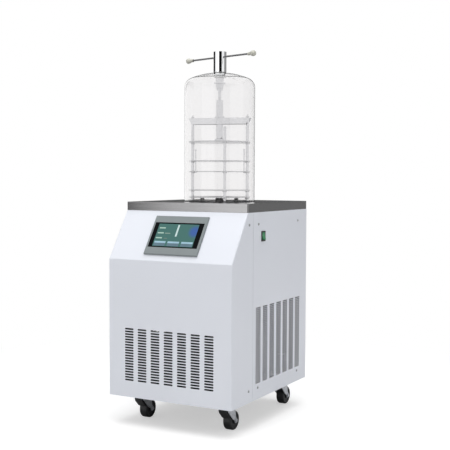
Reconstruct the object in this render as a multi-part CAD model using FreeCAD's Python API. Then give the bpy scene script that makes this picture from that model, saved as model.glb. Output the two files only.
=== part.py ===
"""Floor-standing laboratory freeze dryer with a stoppering rack under a clear jar.

The cabinet stands on four swivel casters and holds the refrigeration plant and the cold trap.
A folded stainless deck carries the jar.  Inside the jar a rack with a press plate, three shelves
and a base stands on the deck, and a T-handle on the jar turns the screw that presses them down.

Millimetres.  +X is to the right seen from the front, +Y to the rear, +Z up.  The origin lies on
the floor at the middle of the overall footprint.  Heights named "*_H" are above the deck.
"""
import FreeCAD, Part
import math
import os

V = FreeCAD.Vector
X = V(1, 0, 0)
Y = V(0, 1, 0)
Z = V(0, 0, 1)

# ---- cabinet -------------------------------------------------------------------------------
WIDTH = 480.0
DEPTH = 590.0
SLOPE_RUN = 110.0            # how far the deck's front edge is set back from the lower front
FOLD_RISE = 472.0            # underside to the fold below the sloping console
SHELL_RISE = 635.0           # underside to the underside of the deck's skirt
DECK_SKIRT = 30.0
SHEET = 1.5
DECK_SHEET = 2.0
EDGE_RADIUS = 4.0            # rounded front edges of the cover
SEAM = 1.0                   # gap between the front cover and the side panels
RETURN_DEPTH = 149.0         # side returns of the front cover
PAN_SHEET = 2.0
PAN_FLANGE = 25.0
UPRIGHT_REACH = 54.0         # how far the front upright reaches behind the seam
REAR_UPRIGHT = 95.0
UPRIGHT_LEG = 28.0
RAIL = 3.0
RAIL_FLANGE = 20.0

# ---- louvres and grilles -------------------------------------------------------------------
LOUVRE_COLUMNS = 7
LOUVRE_ROWS = 20
LOUVRE_PITCH_X = 52.0
LOUVRE_PITCH_Z = 9.22
LOUVRE_LENGTH = 35.0
LOUVRE_HEIGHT = 5.6
LOUVRE_RISE = 59.5           # underside to the lowest row
GRILLE_COLUMNS = 7
GRILLE_ROWS = 42
GRILLE_PITCH_Y = 53.3
GRILLE_PITCH_Z = 6.2
GRILLE_LENGTH = 38.5
GRILLE_HEIGHT = 3.7
GRILLE_RISE = 57.5
GRILLE_SETBACK = 190.5       # lower front face to the first column's middle
BACK_GRILLE_COLUMNS = 4
BACK_GRILLE_ROWS = 24

# ---- fasteners of the covers ---------------------------------------------------------------
SCREW_HEAD_R = 4.5
SCREW_HEAD_T = 2.2
SCREW_HEAD_CHAMFER = 1.2
SCREW_SHANK_R = 2.0
SCREW_HOLE_PLAY = 0.1
SCREW_LENGTH = 8.0
SCREW_CROSS_W = 1.2
SCREW_CROSS_L = 5.0
SCREW_END_INSET = 40.0       # from the shell's lower and upper ends
COVER_SCREW_SETBACK = 120.0
PANEL_SCREW_SETBACK = 188.0
REAR_SCREW_INSET = 81.0
BACK_SCREW_INSET = 16.0

# ---- touch screen on the console -----------------------------------------------------------
BEZEL_W = 208.0
BEZEL_H = 151.0
BEZEL_PROUD = 7.0
BEZEL_CORNER = 5.0
BEZEL_BEVEL = 1.5
GLASS_W = 192.0
GLASS_H = 97.0
GLASS_T = 1.6
GLASS_RECESS = 0.6
GLASS_PLAY = 0.2
HOUSING_W = 190.0
HOUSING_H = 136.0
HOUSING_T = 36.0
HOUSING_PLAY = 0.5
HOUSING_WALL = 2.5

# ---- rocker switch on the right side -------------------------------------------------------
SWITCH_SETBACK = 223.5       # lower front face to the switch's middle
SWITCH_RISE = 553.0
SWITCH_FACE_W = 28.0
SWITCH_FACE_H = 35.0
SWITCH_FACE_T = 2.5
SWITCH_BODY_W = 24.5
SWITCH_BODY_H = 31.5
SWITCH_BODY_DEPTH = 26.0
ROCKER_W = 19.0
ROCKER_HALF = 12.5
ROCKER_CREST = 5.0
ROCKER_DIP = 2.5
ROCKER_KEEL = 6.0
ROCKER_TILT = 9.0            # degrees either side of level
ROCKER_PIVOT_R = 1.5
ROCKER_PIVOT_LENGTH = 1.5
ROCKER_WELL = 14.0
ROCKER_GAP = 0.5

# ---- casters -------------------------------------------------------------------------------
CASTER_HEIGHT = 100.0
CASTER_FRONT_INSET = 103.0
CASTER_REAR_INSET = 70.0
CASTER_SIDE_INSET = 72.0
CASTER_TRAIL = 30.0
CASTER_PLATE = 60.0
CASTER_PLATE_T = 3.0
RACE_R = 22.0
RACE_T = 6.0
CASTER_BOLT_INSET = 7.0
CASTER_BOLT_R = 4.5
CASTER_BOLT_T = 3.0
KINGPIN_R = 5.0
KINGPIN_HEAD_R = 9.0
KINGPIN_HEAD_T = 2.0
CROWN_R = 27.0
CROWN_T = 3.0
CROWN_GAP = 0.5
FORK_LEG = 3.0
FORK_SHOULDER = 24.0         # half the width of a fork leg at the crown
FORK_FRONT = ((-24.0, 0.72), (-9.0, 0.445), (4.0, 0.21))    # behind the swivel axis, and the
FORK_BACK = ((27.0, 0.28), (24.0, 0.68))                    # share of the way up to the crown
WHEEL_R = 32.5
WHEEL_W = 30.0
WHEEL_HUB_W = 32.0
WHEEL_HUB_R = 11.0
WHEEL_DISH = 3.0
WHEEL_SHOULDER = 5.0
WHEEL_RIM_R = 24.0
AXLE_R = 4.0
AXLE_EYE_R = 8.0
AXLE_HEAD_R = 6.0
AXLE_HEAD_T = 2.0
LEG_GAP = 1.0                # between the wheel's hub and each fork leg
PEDAL_PIVOT_Y = 2.0
PEDAL_PIVOT_Z = 73.5
PEDAL_PIN_R = 2.5
PEDAL_W = 30.0
PEDAL_SIDE = ((4.0, 5.5), (-30.0, 7.5), (-33.0, 2.5), (-31.0, -5.5), (-15.0, -20.5),
              (-11.0, -25.0), (-7.5, -24.0), (4.0, -7.5))   # corners seen from the side, from the pivot

# ---- fits ----------------------------------------------------------------------------------
RUNNING = 0.08               # radial play of a shaft that turns or slides in its bore
LOOSE = 0.3                  # play round parts that only stand clear of each other

# ---- cold trap and deck --------------------------------------------------------------------
TRAP_R = 90.0                # inside radius
TRAP_WALL = 2.0
TRAP_DEPTH = 230.0
TRAP_FLANGE = 23.0
TRAP_FLANGE_T = 4.0
LEDGE_W = 6.0
LEDGE_T = 3.0
BAFFLE_T = 3.0
BAFFLE_EYE_R = 20.0
BAFFLE_INNER_RING = 37.0
BAFFLE_INNER_HOLE_R = 7.0
BAFFLE_INNER_COUNT = 8
BAFFLE_OUTER_RING = 78.5
BAFFLE_OUTER_HOLE_R = 4.5
BAFFLE_OUTER_COUNT = 24
COIL_TUBE_R = 5.0
COIL_PITCH = 16.0
COIL_RINGS = 9
COIL_DROP = 78.0             # deck to the top ring
COIL_HEADER_R = 6.0
FOAM_WALL = 34.0
FOAM_FLOOR = 28.0

# ---- ports on the rear face ----------------------------------------------------------------
PORT_REACH = 45.0
PORT_BORE_R = 12.0
PORT_WALL = 2.0
PORT_FLANGE_R = 20.0
PORT_FLANGE_T = 4.0
PORT_NECK_T = 4.0
PORT_DROP = 50.0             # deck to the vacuum port's axis
DRAIN_BORE_R = 4.0
DRAIN_WALL = 1.5
DRAIN_DROP = 320.0           # deck to the drain's level run
DRAIN_BEND = 30.0
VALVE_R = 13.0
VALVE_LENGTH = 26.0
VALVE_FLANGE_R = 18.0
VALVE_FLANGE_T = 3.0
BARB_R = 6.0
BARB_RINGS = 3
BARB_STEP = 1.0
LEVER_LENGTH = 26.0
LEVER_W = 9.0
LEVER_T = 3.0
LEVER_STEM_R = 3.0
LEVER_STEM_RISE = 9.0
LEVER_NECK_WALL = 2.0
LEVER_NECK_RISE = 3.0
LEVER_SEAT = 2.0             # drain bore's wall to the foot of the stem's hole
INLET_EDGE_INSET = 90.0      # back panel's edge to the inlet's middle
INLET_RISE = 70.0
INLET_W = 50.0
INLET_H = 28.0
INLET_FACE_T = 3.0
INLET_BODY_W = 34.0
INLET_BODY_H = 23.0
INLET_BODY_DEPTH = 30.0
INLET_WALL = 2.5
INLET_FLOOR = 10.0
INLET_PIN_PITCH = 8.0
INLET_PIN_W = 2.0
INLET_PIN_H = 4.0
INLET_PIN_SINK = 4.0         # back panel's face to the pins' ends

# ---- jar and its gland ---------------------------------------------------------------------
JAR_R = 127.5
JAR_WALL = 6.0
JAR_CROWN_H = 463.0
JAR_DISH_R = 280.0
JAR_KNUCKLE_R = 35.0
GASKET_T = 3.0
GASKET_LAND = 2.5
GLAND_NECK_R = 12.0
GLAND_HOLE_PLAY = 0.3
GLAND_CAP_R = 19.0
GLAND_CAP_T = 6.0
SEAL_T = 2.0
GLAND_NUT_R = 15.0
GLAND_FLANGE_R = 21.5
GLAND_FLANGE_DROP = 33.0     # crown to the nut's flange
GLAND_FLANGE_T = 6.0
GLAND_TIP_R = 10.5
GLAND_TIP_L = 25.0
GLAND_FLOOR = 7.0

# ---- T-handle and press --------------------------------------------------------------------
HUB_R = 23.5
HUB_L = 73.0
HUB_GAP = 0.26               # gland's cap to the foot of the hub
HUB_SKIRT = 2.0
HUB_CHAMFER = 1.0
BAR_DROP = 19.0              # hub top to the bar's axis
BAR_R = 3.3
BAR_HALF = 156.0
BAR_ANGLE = -16.0            # degrees from +X
KNOB_START = 139.5
KNOB_LENGTH = 34.0
KNOB_NECK_R = 5.8
KNOB_R = 10.4
KNOB_WAIST = 6.8             # foot to the end of the straight collar
KNOB_BELLY = 25.7            # foot to the widest place
KNOB_SWELL_R = 8.65          # radius halfway between the two
KNOB_CAP_R = 7.8             # a place on the rounded end
KNOB_CAP_RISE = 5.7
DRIVE_R = 5.0
DRIVE_WEB = 13.7             # cross bar's hole to the top of the spindle
DRIVE_SQUARE = 8.0
DRIVE_SHOULDER = 3.0         # gland nut's tip to the start of the square
DRIVE_END_GAP = 15.6         # floor of the screw's bore to the end of the square
DRIVE_PLAY = 0.15
PRESS_SCREW_R = 12.5
PRESS_SCREW_L = 138.6
PRESS_SCREW_CHAMFER = 1.0
PRESS_SCREW_FLOOR = 4.0
PRESS_NECK_R = 7.5
PRESS_HEAD_R = 11.0
PRESS_HEAD_T = 4.0
FOOT_R = 18.0
FOOT_LIP = 5.5
FOOT_SPLIT = 0.4
NUT_FLANGE_R = 17.5
NUT_FLANGE_T = 7.0
NUT_BODY_R = 15.0
NUT_BODY_L = 20.0

# ---- shelf rack ----------------------------------------------------------------------------
RACK_ANGLE = 13.0            # degrees from +X to the line through the two posts
BEAM_TOP_H = 301.0
BEAM_RISE = 23.0
BEAM_LENGTH = 228.0
BEAM_W = 36.0
BEAM_SHEET = 2.0
BEAM_END_RAKE = 13.0
POST_RING_R = 103.0
POST_R = 5.5
POST_STUD_R = 3.0
POST_STUD_L = 11.0
POST_NUT_R = 6.0
POST_NUT_T = 5.0
GUIDE_ANGLE = -51.0          # degrees from +X
GUIDE_R = 5.0
GUIDE_DROP = 35.0            # beam's top to the guide rod's top
GUIDE_TIP = 3.0
SHELF_R = 111.0
SHELF_T = 3.0
PRESS_PLATE_T = 5.0
PRESS_PLATE_H = 211.0        # underside of each plate
SHELF_2_H = 144.0
SHELF_3_H = 106.0
SHELF_4_H = 39.0
RACK_BASE_H = 14.0
BASE_WINDOW_R = 45.0
LINK_RING_R = 91.0
LINK_R = 2.0
LINK_TOP_H = 188.0
LINK_HEAD_R = 3.5
LINK_HEAD_T = 4.0
BUSH_R = 7.5
BUSH_T = 4.0
FOOT_RING_R = 62.0
FOOT_ANGLE = -54.5
RACK_FOOT_R = 10.0
RACK_FOOT_NECK_R = 6.0

# ---- refrigeration plant -------------------------------------------------------------------
COMPRESSOR_X = 95.0
COMPRESSOR_SETBACK = 420.0
COMPRESSOR_R = 82.0
COMPRESSOR_RISE = 225.0
COMPRESSOR_KNUCKLE = 38.0
COMPRESSOR_FOOT_W = 200.0
COMPRESSOR_FOOT_D = 140.0
COMPRESSOR_FOOT_T = 4.0
COMPRESSOR_LEG_INSET = 14.0
COMPRESSOR_LEG_R = 9.0
COMPRESSOR_LIFT = 10.0
BELT_T = 4.0
BELT_RISE = 110.0
LINE_R = 4.0
LINE_WALL = 1.0
LINE_BEND = 18.0
LINE_LIFT = 50.0             # compressor top to the level runs
SUCTION_REACH = 190.0        # jar's axis out to the drop of each trap line
LIQUID_REACH = 165.0
LIQUID_OFFSET = 120.0        # jar's axis out to the liquid line's drop at the condenser
SUCTION_LIFT = 90.0          # compressor top to the suction line's level run
SUCTION_OFFSET = 30.0        # compressor's axis to each of its two lines
LIQUID_LEVEL = 150.0         # compressor top to the liquid line's run to the front
CONDENSER_W = 320.0
CONDENSER_H = 220.0
CONDENSER_T = 44.0
CONDENSER_SETBACK = 22.0
CONDENSER_FINS = 30
FIN_T = 0.8
CONDENSER_FRAME_T = 1.5
CONDENSER_TUBE_R = 4.5
CONDENSER_TUBES = 5
FAN_R = 92.0
FAN_TIP_GAP = 4.0
FAN_RING_T = 2.0
FAN_RING_DEPTH = 34.0
FAN_HUB_R = 24.0
FAN_HUB_T = 18.0
FAN_BLADES = 5
FAN_BLADE_T = 2.0
FAN_BLADE_PITCH = 32.0
FAN_SHAFT_R = 4.0
FAN_SHAFT_SINK = 40.0        # how far the shaft reaches into the motor
MOTOR_R = 34.0
MOTOR_LENGTH = 52.0
MOTOR_EDGE = 4.0
MOTOR_GAP = 6.0
MOTOR_SHAFT_HOLE = 44.0
MOTOR_ARMS = 3
MOTOR_ARM_W = 12.0
MOTOR_ARM_T = 4.0
CONTROL_WALL_GAP = 20.0      # side panel's outside to the box
CONTROL_W = 110.0
CONTROL_D = 180.0
CONTROL_H = 210.0
CONTROL_SETBACK = 330.0
DRIER_R = 11.0
DRIER_LENGTH = 90.0

# ---- places worked out from the sizes above --------------------------------------------------
FRONT = -(DEPTH + PORT_REACH) / 2
REAR = FRONT + DEPTH
HALF_W = WIDTH / 2
INLET_X = HALF_W - INLET_EDGE_INSET
CONTROL_LEFT = CONTROL_WALL_GAP - HALF_W
UNDERSIDE = CASTER_HEIGHT
SHELL_TOP = UNDERSIDE + SHELL_RISE
DECK_TOP = SHELL_TOP + DECK_SKIRT
DECK_UNDER = DECK_TOP - DECK_SHEET
DECK_FRONT = FRONT + SLOPE_RUN
AXIS_Y = (DECK_FRONT + REAR) / 2
PAN_FLOOR = UNDERSIDE + PAN_SHEET
SLOPE_ANGLE = math.degrees(math.atan2(SLOPE_RUN, SHELL_RISE - FOLD_RISE))
CONSOLE_MIDDLE = V(0, FRONT + SLOPE_RUN / 2, UNDERSIDE + (FOLD_RISE + SHELL_RISE) / 2)
SCREW_LOW = UNDERSIDE + SCREW_END_INSET
SCREW_HIGH = SHELL_TOP - SCREW_END_INSET
TRAP_OUTER = TRAP_R + TRAP_WALL
JAR_INNER = JAR_R - JAR_WALL


# ---- helpers -------------------------------------------------------------------------------
def box(x0, x1, y0, y1, z0, z1):
    """A block between two opposite corners."""
    return Part.makeBox(x1 - x0, y1 - y0, z1 - z0, V(x0, y0, z0))


def rod(radius, start, end):
    """A round bar between two points."""
    run = end - start
    return Part.makeCylinder(radius, run.Length, start, run)


def tube(outer, inner, start, end):
    """A round tube between two points."""
    return rod(outer, start, end).cut(rod(inner, start, end))


def fuse(shapes):
    """One solid from touching shapes."""
    whole = shapes[0]
    if len(shapes) > 1:
        whole = shapes[0].fuse(shapes[1:])
    return whole.removeSplitter()


def polygon(points):
    """A flat face with the given corners."""
    return Part.Face(Part.makePolygon(points + [points[0]]))


def upright_edges(solid):
    """Edges of a box-like solid that run along Z."""
    return [e for e in solid.Edges if abs(e.tangentAt(e.FirstParameter).z) > 0.9]


def turned(profile, centre=V(0, 0, 0)):
    """A solid turned about a vertical axis from (radius, height) corners."""
    face = polygon([V(r, 0, z) for r, z in profile])
    solid = face.revolve(V(0, 0, 0), Z, 360)
    solid.translate(centre)
    return solid


def on_ring(radius, degrees, height=0.0):
    """A point at an angle from +X on a ring about the jar's axis, at a height above the deck."""
    turn = math.radians(degrees)
    return V(radius * math.cos(turn), AXIS_Y + radius * math.sin(turn), DECK_TOP + height)


def axis_point(height):
    """A point on the jar's axis at a height above the deck."""
    return V(0, AXIS_Y, DECK_TOP + height)


def slot_wire(centre, along, across, length, height):
    """The outline of a round-ended slot."""
    half = (length - height) / 2
    r = height / 2
    left = centre - along * half
    right = centre + along * half
    top = Part.LineSegment(left + across * r, right + across * r).toShape()
    far = Part.Arc(right + across * r, right + along * r, right - across * r).toShape()
    low = Part.LineSegment(right - across * r, left - across * r).toShape()
    near = Part.Arc(left - across * r, left - along * r, left + across * r).toShape()
    return Part.Wire([top, far, low, near])


def slot_grid(first, along, across, columns, rows, pitch, row_pitch, length, height):
    """Slot outlines in columns and rows, the first one at the lower end of the first column."""
    wires = []
    for column in range(columns):
        for row in range(rows):
            centre = first + along * (column * pitch) + across * (row * row_pitch)
            wires.append(slot_wire(centre, along, across, length, height))
    return wires


def circle_wire(radius, centre, normal):
    """A round hole's outline."""
    return Part.Wire([Part.makeCircle(radius, centre, normal)])


def rectangle_wire(centre, along, across, width, height):
    """A rectangular hole's outline."""
    a = along * (width / 2)
    b = across * (height / 2)
    corners = [centre - a - b, centre + a - b, centre + a + b, centre - a + b]
    return Part.makePolygon(corners + [corners[0]])


def pierced_sheet(outline, holes, thickness):
    """A sheet with holes, thickened along the given vector."""
    face = Part.makeFace([outline] + holes, "Part::FaceMakerBullseye")
    return face.extrude(thickness)


def bent_tube(points, outer, inner, bend):
    """A tube along straight runs joined by arcs of one bend radius."""
    parts = []
    start = points[0]
    for before, corner, after in zip(points, points[1:], points[2:]):
        arrive = (corner - before).normalize()
        leave = (after - corner).normalize()
        turn = arrive.getAngle(leave)
        setback = bend * math.tan(turn / 2)
        tangent_in = corner - arrive * setback
        tangent_out = corner + leave * setback
        pivot = tangent_in + (leave - arrive * arrive.dot(leave)).normalize() * bend
        rim = circle_wire(outer, tangent_in, arrive)
        section = Part.makeFace([rim, circle_wire(inner, tangent_in, arrive)], "Part::FaceMakerBullseye")
        parts.append(tube(outer, inner, start, tangent_in))
        parts.append(section.revolve(pivot, arrive.cross(leave), math.degrees(turn)))
        start = tangent_out
    parts.append(tube(outer, inner, start, points[-1]))
    return fuse(parts)


def save(name, shape):
    """Write one piece, or one group of like pieces, as a STEP file."""
    shape.exportStep("parts/" + name + ".step")


# ---- cabinet -------------------------------------------------------------------------------
def cover_block(inset, rear, bottom, top):
    """The front cover's outer form, moved inwards by a sheet thickness when inset is given."""
    turn = math.radians(SLOPE_ANGLE)
    run = math.tan(turn)
    fold = UNDERSIDE + FOLD_RISE - inset * (1 / math.sin(turn) - 1 / run)
    face = polygon([
        V(-HALF_W + inset, FRONT + inset, bottom),
        V(-HALF_W + inset, FRONT + inset, fold),
        V(-HALF_W + inset, FRONT + inset + (top - fold) * run, top),
        V(-HALF_W + inset, rear, top),
        V(-HALF_W + inset, rear, bottom)])
    block = face.extrude(X * (WIDTH - 2 * inset))
    edges = []
    for edge in block.Edges:
        middle = edge.CenterOfMass
        side = abs(abs(middle.x) - (HALF_W - inset)) < 0.01
        front = middle.y < FRONT + inset + 0.01
        console = middle.z > fold + 0.01 and middle.z < top - 0.01 and middle.y < rear - 0.01
        if side and (front or console) and middle.z > bottom + 0.01:
            edges.append(edge)
        if not side and front and abs(middle.z - fold) < 0.01:
            edges.append(edge)
    return block.makeFillet(EDGE_RADIUS - inset, edges)


def console_frame():
    """Placement whose X is across, Y is up the console and Z is out of it."""
    return FreeCAD.Placement(CONSOLE_MIDDLE, FreeCAD.Rotation(X, 90 - SLOPE_ANGLE))


def front_cover():
    """Folded cover: lower front with louvres, sloping console and two side returns."""
    rear = FRONT + RETURN_DEPTH
    outside = cover_block(0, rear, UNDERSIDE, SHELL_TOP)
    inside = cover_block(SHEET, rear + SHEET, UNDERSIDE - SHEET, SHELL_TOP + SHEET)
    shell = outside.cut(inside)
    first = V(-(LOUVRE_COLUMNS - 1) * LOUVRE_PITCH_X / 2, FRONT - SHEET, UNDERSIDE + LOUVRE_RISE)
    wires = slot_grid(first, X, Z, LOUVRE_COLUMNS, LOUVRE_ROWS,
                      LOUVRE_PITCH_X, LOUVRE_PITCH_Z, LOUVRE_LENGTH, LOUVRE_HEIGHT)
    punches = [Part.Face(wire).extrude(Y * (3 * SHEET)) for wire in wires]
    window = box(-HOUSING_W / 2 - HOUSING_PLAY, HOUSING_W / 2 + HOUSING_PLAY,
                 -HOUSING_H / 2 - HOUSING_PLAY, HOUSING_H / 2 + HOUSING_PLAY, -3 * SHEET, SHEET)
    window.Placement = console_frame()
    for side in (-1, 1):
        for height in (SCREW_LOW, SCREW_HIGH):
            punches.append(screw_hole(side, FRONT + COVER_SCREW_SETBACK, height))
    return shell.cut(punches + [window])


def screw_hole(side, y, z):
    """A clearance hole for one cover screw, through the sheet and the upright behind it."""
    radius = SCREW_SHANK_R + SCREW_HOLE_PLAY
    return rod(radius, V(side * (HALF_W - SCREW_LENGTH), y, z), V(side * (HALF_W + 1), y, z))


def side_screw_places():
    """(y, z) of the screws that hold one side panel."""
    rows = (FRONT + PANEL_SCREW_SETBACK, REAR - REAR_SCREW_INSET)
    return [(y, z) for y in rows for z in (SCREW_LOW, SCREW_HIGH)]


def side_panel(side):
    """Flat side panel with a slotted grille; the right one also has the switch cut-out."""
    near = FRONT + RETURN_DEPTH + SEAM
    x = side * HALF_W
    outline = Part.makePolygon([V(x, near, UNDERSIDE), V(x, REAR, UNDERSIDE), V(x, REAR, SHELL_TOP),
                                V(x, near, SHELL_TOP), V(x, near, UNDERSIDE)])
    first = V(x, FRONT + GRILLE_SETBACK, UNDERSIDE + GRILLE_RISE)
    holes = slot_grid(first, Y, Z, GRILLE_COLUMNS, GRILLE_ROWS,
                      GRILLE_PITCH_Y, GRILLE_PITCH_Z, GRILLE_LENGTH, GRILLE_HEIGHT)
    for y, z in side_screw_places():
        holes.append(circle_wire(SCREW_SHANK_R + SCREW_HOLE_PLAY, V(x, y, z), X))
    if side > 0:
        middle = V(x, FRONT + SWITCH_SETBACK, UNDERSIDE + SWITCH_RISE)
        holes.append(rectangle_wire(middle, Y, Z, SWITCH_BODY_W, SWITCH_BODY_H))
    return pierced_sheet(outline, holes, X * (-side * SHEET))


def back_screw_places():
    """(x, z) of the screws that hold the back panel."""
    reach = HALF_W - SHEET - BACK_SCREW_INSET
    return [(x, z) for x in (-reach, reach) for z in (SCREW_LOW, SCREW_HIGH)]


def back_panel():
    """Rear panel with a grille and holes for the two ports and the mains inlet."""
    half = HALF_W - SHEET
    outline = Part.makePolygon([V(-half, REAR, UNDERSIDE), V(half, REAR, UNDERSIDE),
                                V(half, REAR, SHELL_TOP), V(-half, REAR, SHELL_TOP),
                                V(-half, REAR, UNDERSIDE)])
    span = (BACK_GRILLE_COLUMNS - 1) * GRILLE_PITCH_Y
    first = V(-span / 2 - GRILLE_PITCH_Y, REAR, UNDERSIDE + GRILLE_RISE)
    holes = slot_grid(first, X, Z, BACK_GRILLE_COLUMNS, BACK_GRILLE_ROWS,
                      GRILLE_PITCH_Y, GRILLE_PITCH_Z, GRILLE_LENGTH, GRILLE_HEIGHT)
    for x, z in back_screw_places():
        holes.append(circle_wire(SCREW_SHANK_R + SCREW_HOLE_PLAY, V(x, REAR, z), Y))
    holes.append(circle_wire(PORT_BORE_R + PORT_WALL + LOOSE, V(0, REAR, DECK_TOP - PORT_DROP), Y))
    holes.append(circle_wire(DRAIN_BORE_R + DRAIN_WALL + LOOSE, V(0, REAR, DECK_TOP - DRAIN_DROP), Y))
    inlet = V(INLET_X, REAR, UNDERSIDE + INLET_RISE)
    holes.append(rectangle_wire(inlet, X, Z, INLET_BODY_W, INLET_BODY_H))
    return pierced_sheet(outline, holes, Y * -SHEET)


def base_pan():
    """Shallow tray that carries the refrigeration plant; the casters bolt on below it."""
    half = HALF_W - SHEET
    outer = box(-half, half, FRONT + SHEET, REAR - SHEET, UNDERSIDE, UNDERSIDE + PAN_FLANGE)
    corners = [e for e in upright_edges(outer) if e.CenterOfMass.y < FRONT + SHEET + 1]
    outer = outer.makeFillet(EDGE_RADIUS - SHEET, corners)
    inner = box(-half + PAN_SHEET, half - PAN_SHEET, FRONT + SHEET + PAN_SHEET,
                REAR - SHEET - PAN_SHEET, PAN_FLOOR, UNDERSIDE + PAN_FLANGE + 1)
    return outer.cut(inner)


def frame():
    """Welded inner frame: four uprights and the rail ring under the deck."""
    reach = HALF_W - SHEET
    low = UNDERSIDE + PAN_FLANGE
    near = DECK_FRONT + DECK_SHEET
    far = FRONT + RETURN_DEPTH + UPRIGHT_REACH
    rear = REAR - SHEET
    members = []
    for side in (-1, 1):
        wall = sorted((side * reach, side * (reach - SHEET)))
        leg = sorted((side * reach, side * (reach - UPRIGHT_LEG)))
        members.append(box(wall[0], wall[1], near, far, low, SHELL_TOP))
        members.append(box(leg[0], leg[1], far - SHEET, far, low, SHELL_TOP))
        members.append(box(wall[0], wall[1], REAR - REAR_UPRIGHT, rear, low, SHELL_TOP))
        members.append(box(leg[0], leg[1], rear - SHEET, rear, low, SHELL_TOP))
    half = HALF_W - DECK_SHEET
    back = REAR - DECK_SHEET
    ring = box(-half, half, near, back, SHELL_TOP, DECK_UNDER)
    ring = ring.makeFillet(EDGE_RADIUS - DECK_SHEET, upright_edges(ring))
    hollow = box(-half + RAIL, half - RAIL, near + RAIL, back - RAIL, SHELL_TOP - 1, DECK_UNDER - RAIL)
    mouth = box(-half + RAIL_FLANGE, half - RAIL_FLANGE, near + RAIL_FLANGE, back - RAIL_FLANGE,
                SHELL_TOP, DECK_UNDER + 1)
    members.append(ring.cut([hollow, mouth]))
    holes = []
    for side in (-1, 1):
        for y, z in side_screw_places():
            holes.append(screw_hole(side, y, z))
        for z in (SCREW_LOW, SCREW_HIGH):
            holes.append(screw_hole(side, FRONT + COVER_SCREW_SETBACK, z))
    for x, z in back_screw_places():
        radius = SCREW_SHANK_R + SCREW_HOLE_PLAY
        holes.append(rod(radius, V(x, REAR - SCREW_LENGTH, z), V(x, REAR, z)))
    return fuse(members).cut(holes)


def cover_screw(place, outward):
    """Low round-headed screw; place lies on the sheet's outer face."""
    head = Part.makeCylinder(SCREW_HEAD_R, SCREW_HEAD_T, place, outward)
    rim = [e for e in head.Edges if e.Closed and (e.CenterOfMass - place).dot(outward) > 1]
    head = head.makeChamfer(SCREW_HEAD_CHAMFER, rim)
    shank = Part.makeCylinder(SCREW_SHANK_R, SCREW_LENGTH, place, outward * -1)
    w = SCREW_CROSS_W / 2
    l = SCREW_CROSS_L / 2
    cross = box(-w, w, -l, l, -w, w)
    other = box(-l, l, -w, w, -w, w)
    recess = cross.fuse(other)
    recess.Placement = FreeCAD.Placement(place + outward * SCREW_HEAD_T, FreeCAD.Rotation(Z, outward))
    return head.fuse(shank).cut(recess)


def cover_screws():
    """All the screws that hold the cover and the three panels."""
    screws = []
    for side in (-1, 1):
        places = side_screw_places() + [(FRONT + COVER_SCREW_SETBACK, SCREW_LOW),
                                        (FRONT + COVER_SCREW_SETBACK, SCREW_HIGH)]
        for y, z in places:
            screws.append(cover_screw(V(side * HALF_W, y, z), X * side))
    for x, z in back_screw_places():
        screws.append(cover_screw(V(x, REAR, z), Y))
    return Part.makeCompound(screws)


def deck_plate():
    """Stainless deck folded down on four sides, with the cold trap's mouth in the middle."""
    outer = box(-HALF_W, HALF_W, DECK_FRONT, REAR, SHELL_TOP, DECK_TOP)
    outer = outer.makeFillet(EDGE_RADIUS, upright_edges(outer))
    half = HALF_W - DECK_SHEET
    inner = box(-half, half, DECK_FRONT + DECK_SHEET, REAR - DECK_SHEET, SHELL_TOP - 1, DECK_UNDER)
    inner = inner.makeFillet(EDGE_RADIUS - DECK_SHEET, upright_edges(inner))
    mouth = rod(TRAP_OUTER, V(0, AXIS_Y, DECK_UNDER - 1), V(0, AXIS_Y, DECK_TOP + 1))
    return outer.cut([inner, mouth])


# ---- touch screen and switch -----------------------------------------------------------------
def on_console(shape):
    """Move a shape from the console's own axes to its place."""
    shape.Placement = console_frame()
    return shape


def screen_bezel():
    """Raised frame of the touch screen, with a pocket for the glass."""
    body = box(-BEZEL_W / 2, BEZEL_W / 2, -BEZEL_H / 2, BEZEL_H / 2, 0, BEZEL_PROUD)
    corners = [e for e in body.Edges if abs(e.tangentAt(e.FirstParameter).z) > 0.9]
    body = body.makeFillet(BEZEL_CORNER, corners)
    rim = [e for e in body.Edges if abs(e.CenterOfMass.z - BEZEL_PROUD) < 0.01]
    body = body.makeChamfer(BEZEL_BEVEL, rim)
    half_w = GLASS_W / 2 + GLASS_PLAY
    half_h = GLASS_H / 2 + GLASS_PLAY
    floor = BEZEL_PROUD - GLASS_RECESS - GLASS_T
    pocket = box(-half_w, half_w, -half_h, half_h, floor, BEZEL_PROUD + 1)
    return on_console(body.cut(pocket))


def screen_glass():
    """Flat cover glass of the touch screen."""
    floor = BEZEL_PROUD - GLASS_RECESS - GLASS_T
    return on_console(box(-GLASS_W / 2, GLASS_W / 2, -GLASS_H / 2, GLASS_H / 2, floor, floor + GLASS_T))


def screen_housing():
    """Rear housing of the touch screen, a tray that fills the console's window."""
    tray = box(-HOUSING_W / 2, HOUSING_W / 2, -HOUSING_H / 2, HOUSING_H / 2, -HOUSING_T, 0)
    half_w = HOUSING_W / 2 - HOUSING_WALL
    half_h = HOUSING_H / 2 - HOUSING_WALL
    return on_console(tray.cut(box(-half_w, half_w, -half_h, half_h, HOUSING_WALL - HOUSING_T, 1)))


def switch_middle():
    """The middle of the switch on the right panel's outer face."""
    return V(HALF_W, FRONT + SWITCH_SETBACK, UNDERSIDE + SWITCH_RISE)


def switch_block(width, height, depth_in, depth_out):
    """A block centred on the switch, from behind the panel's outer face to in front of it."""
    at = switch_middle()
    return box(at.x - depth_in, at.x + depth_out, at.y - width / 2, at.y + width / 2,
               at.z - height / 2, at.z + height / 2)


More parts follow.
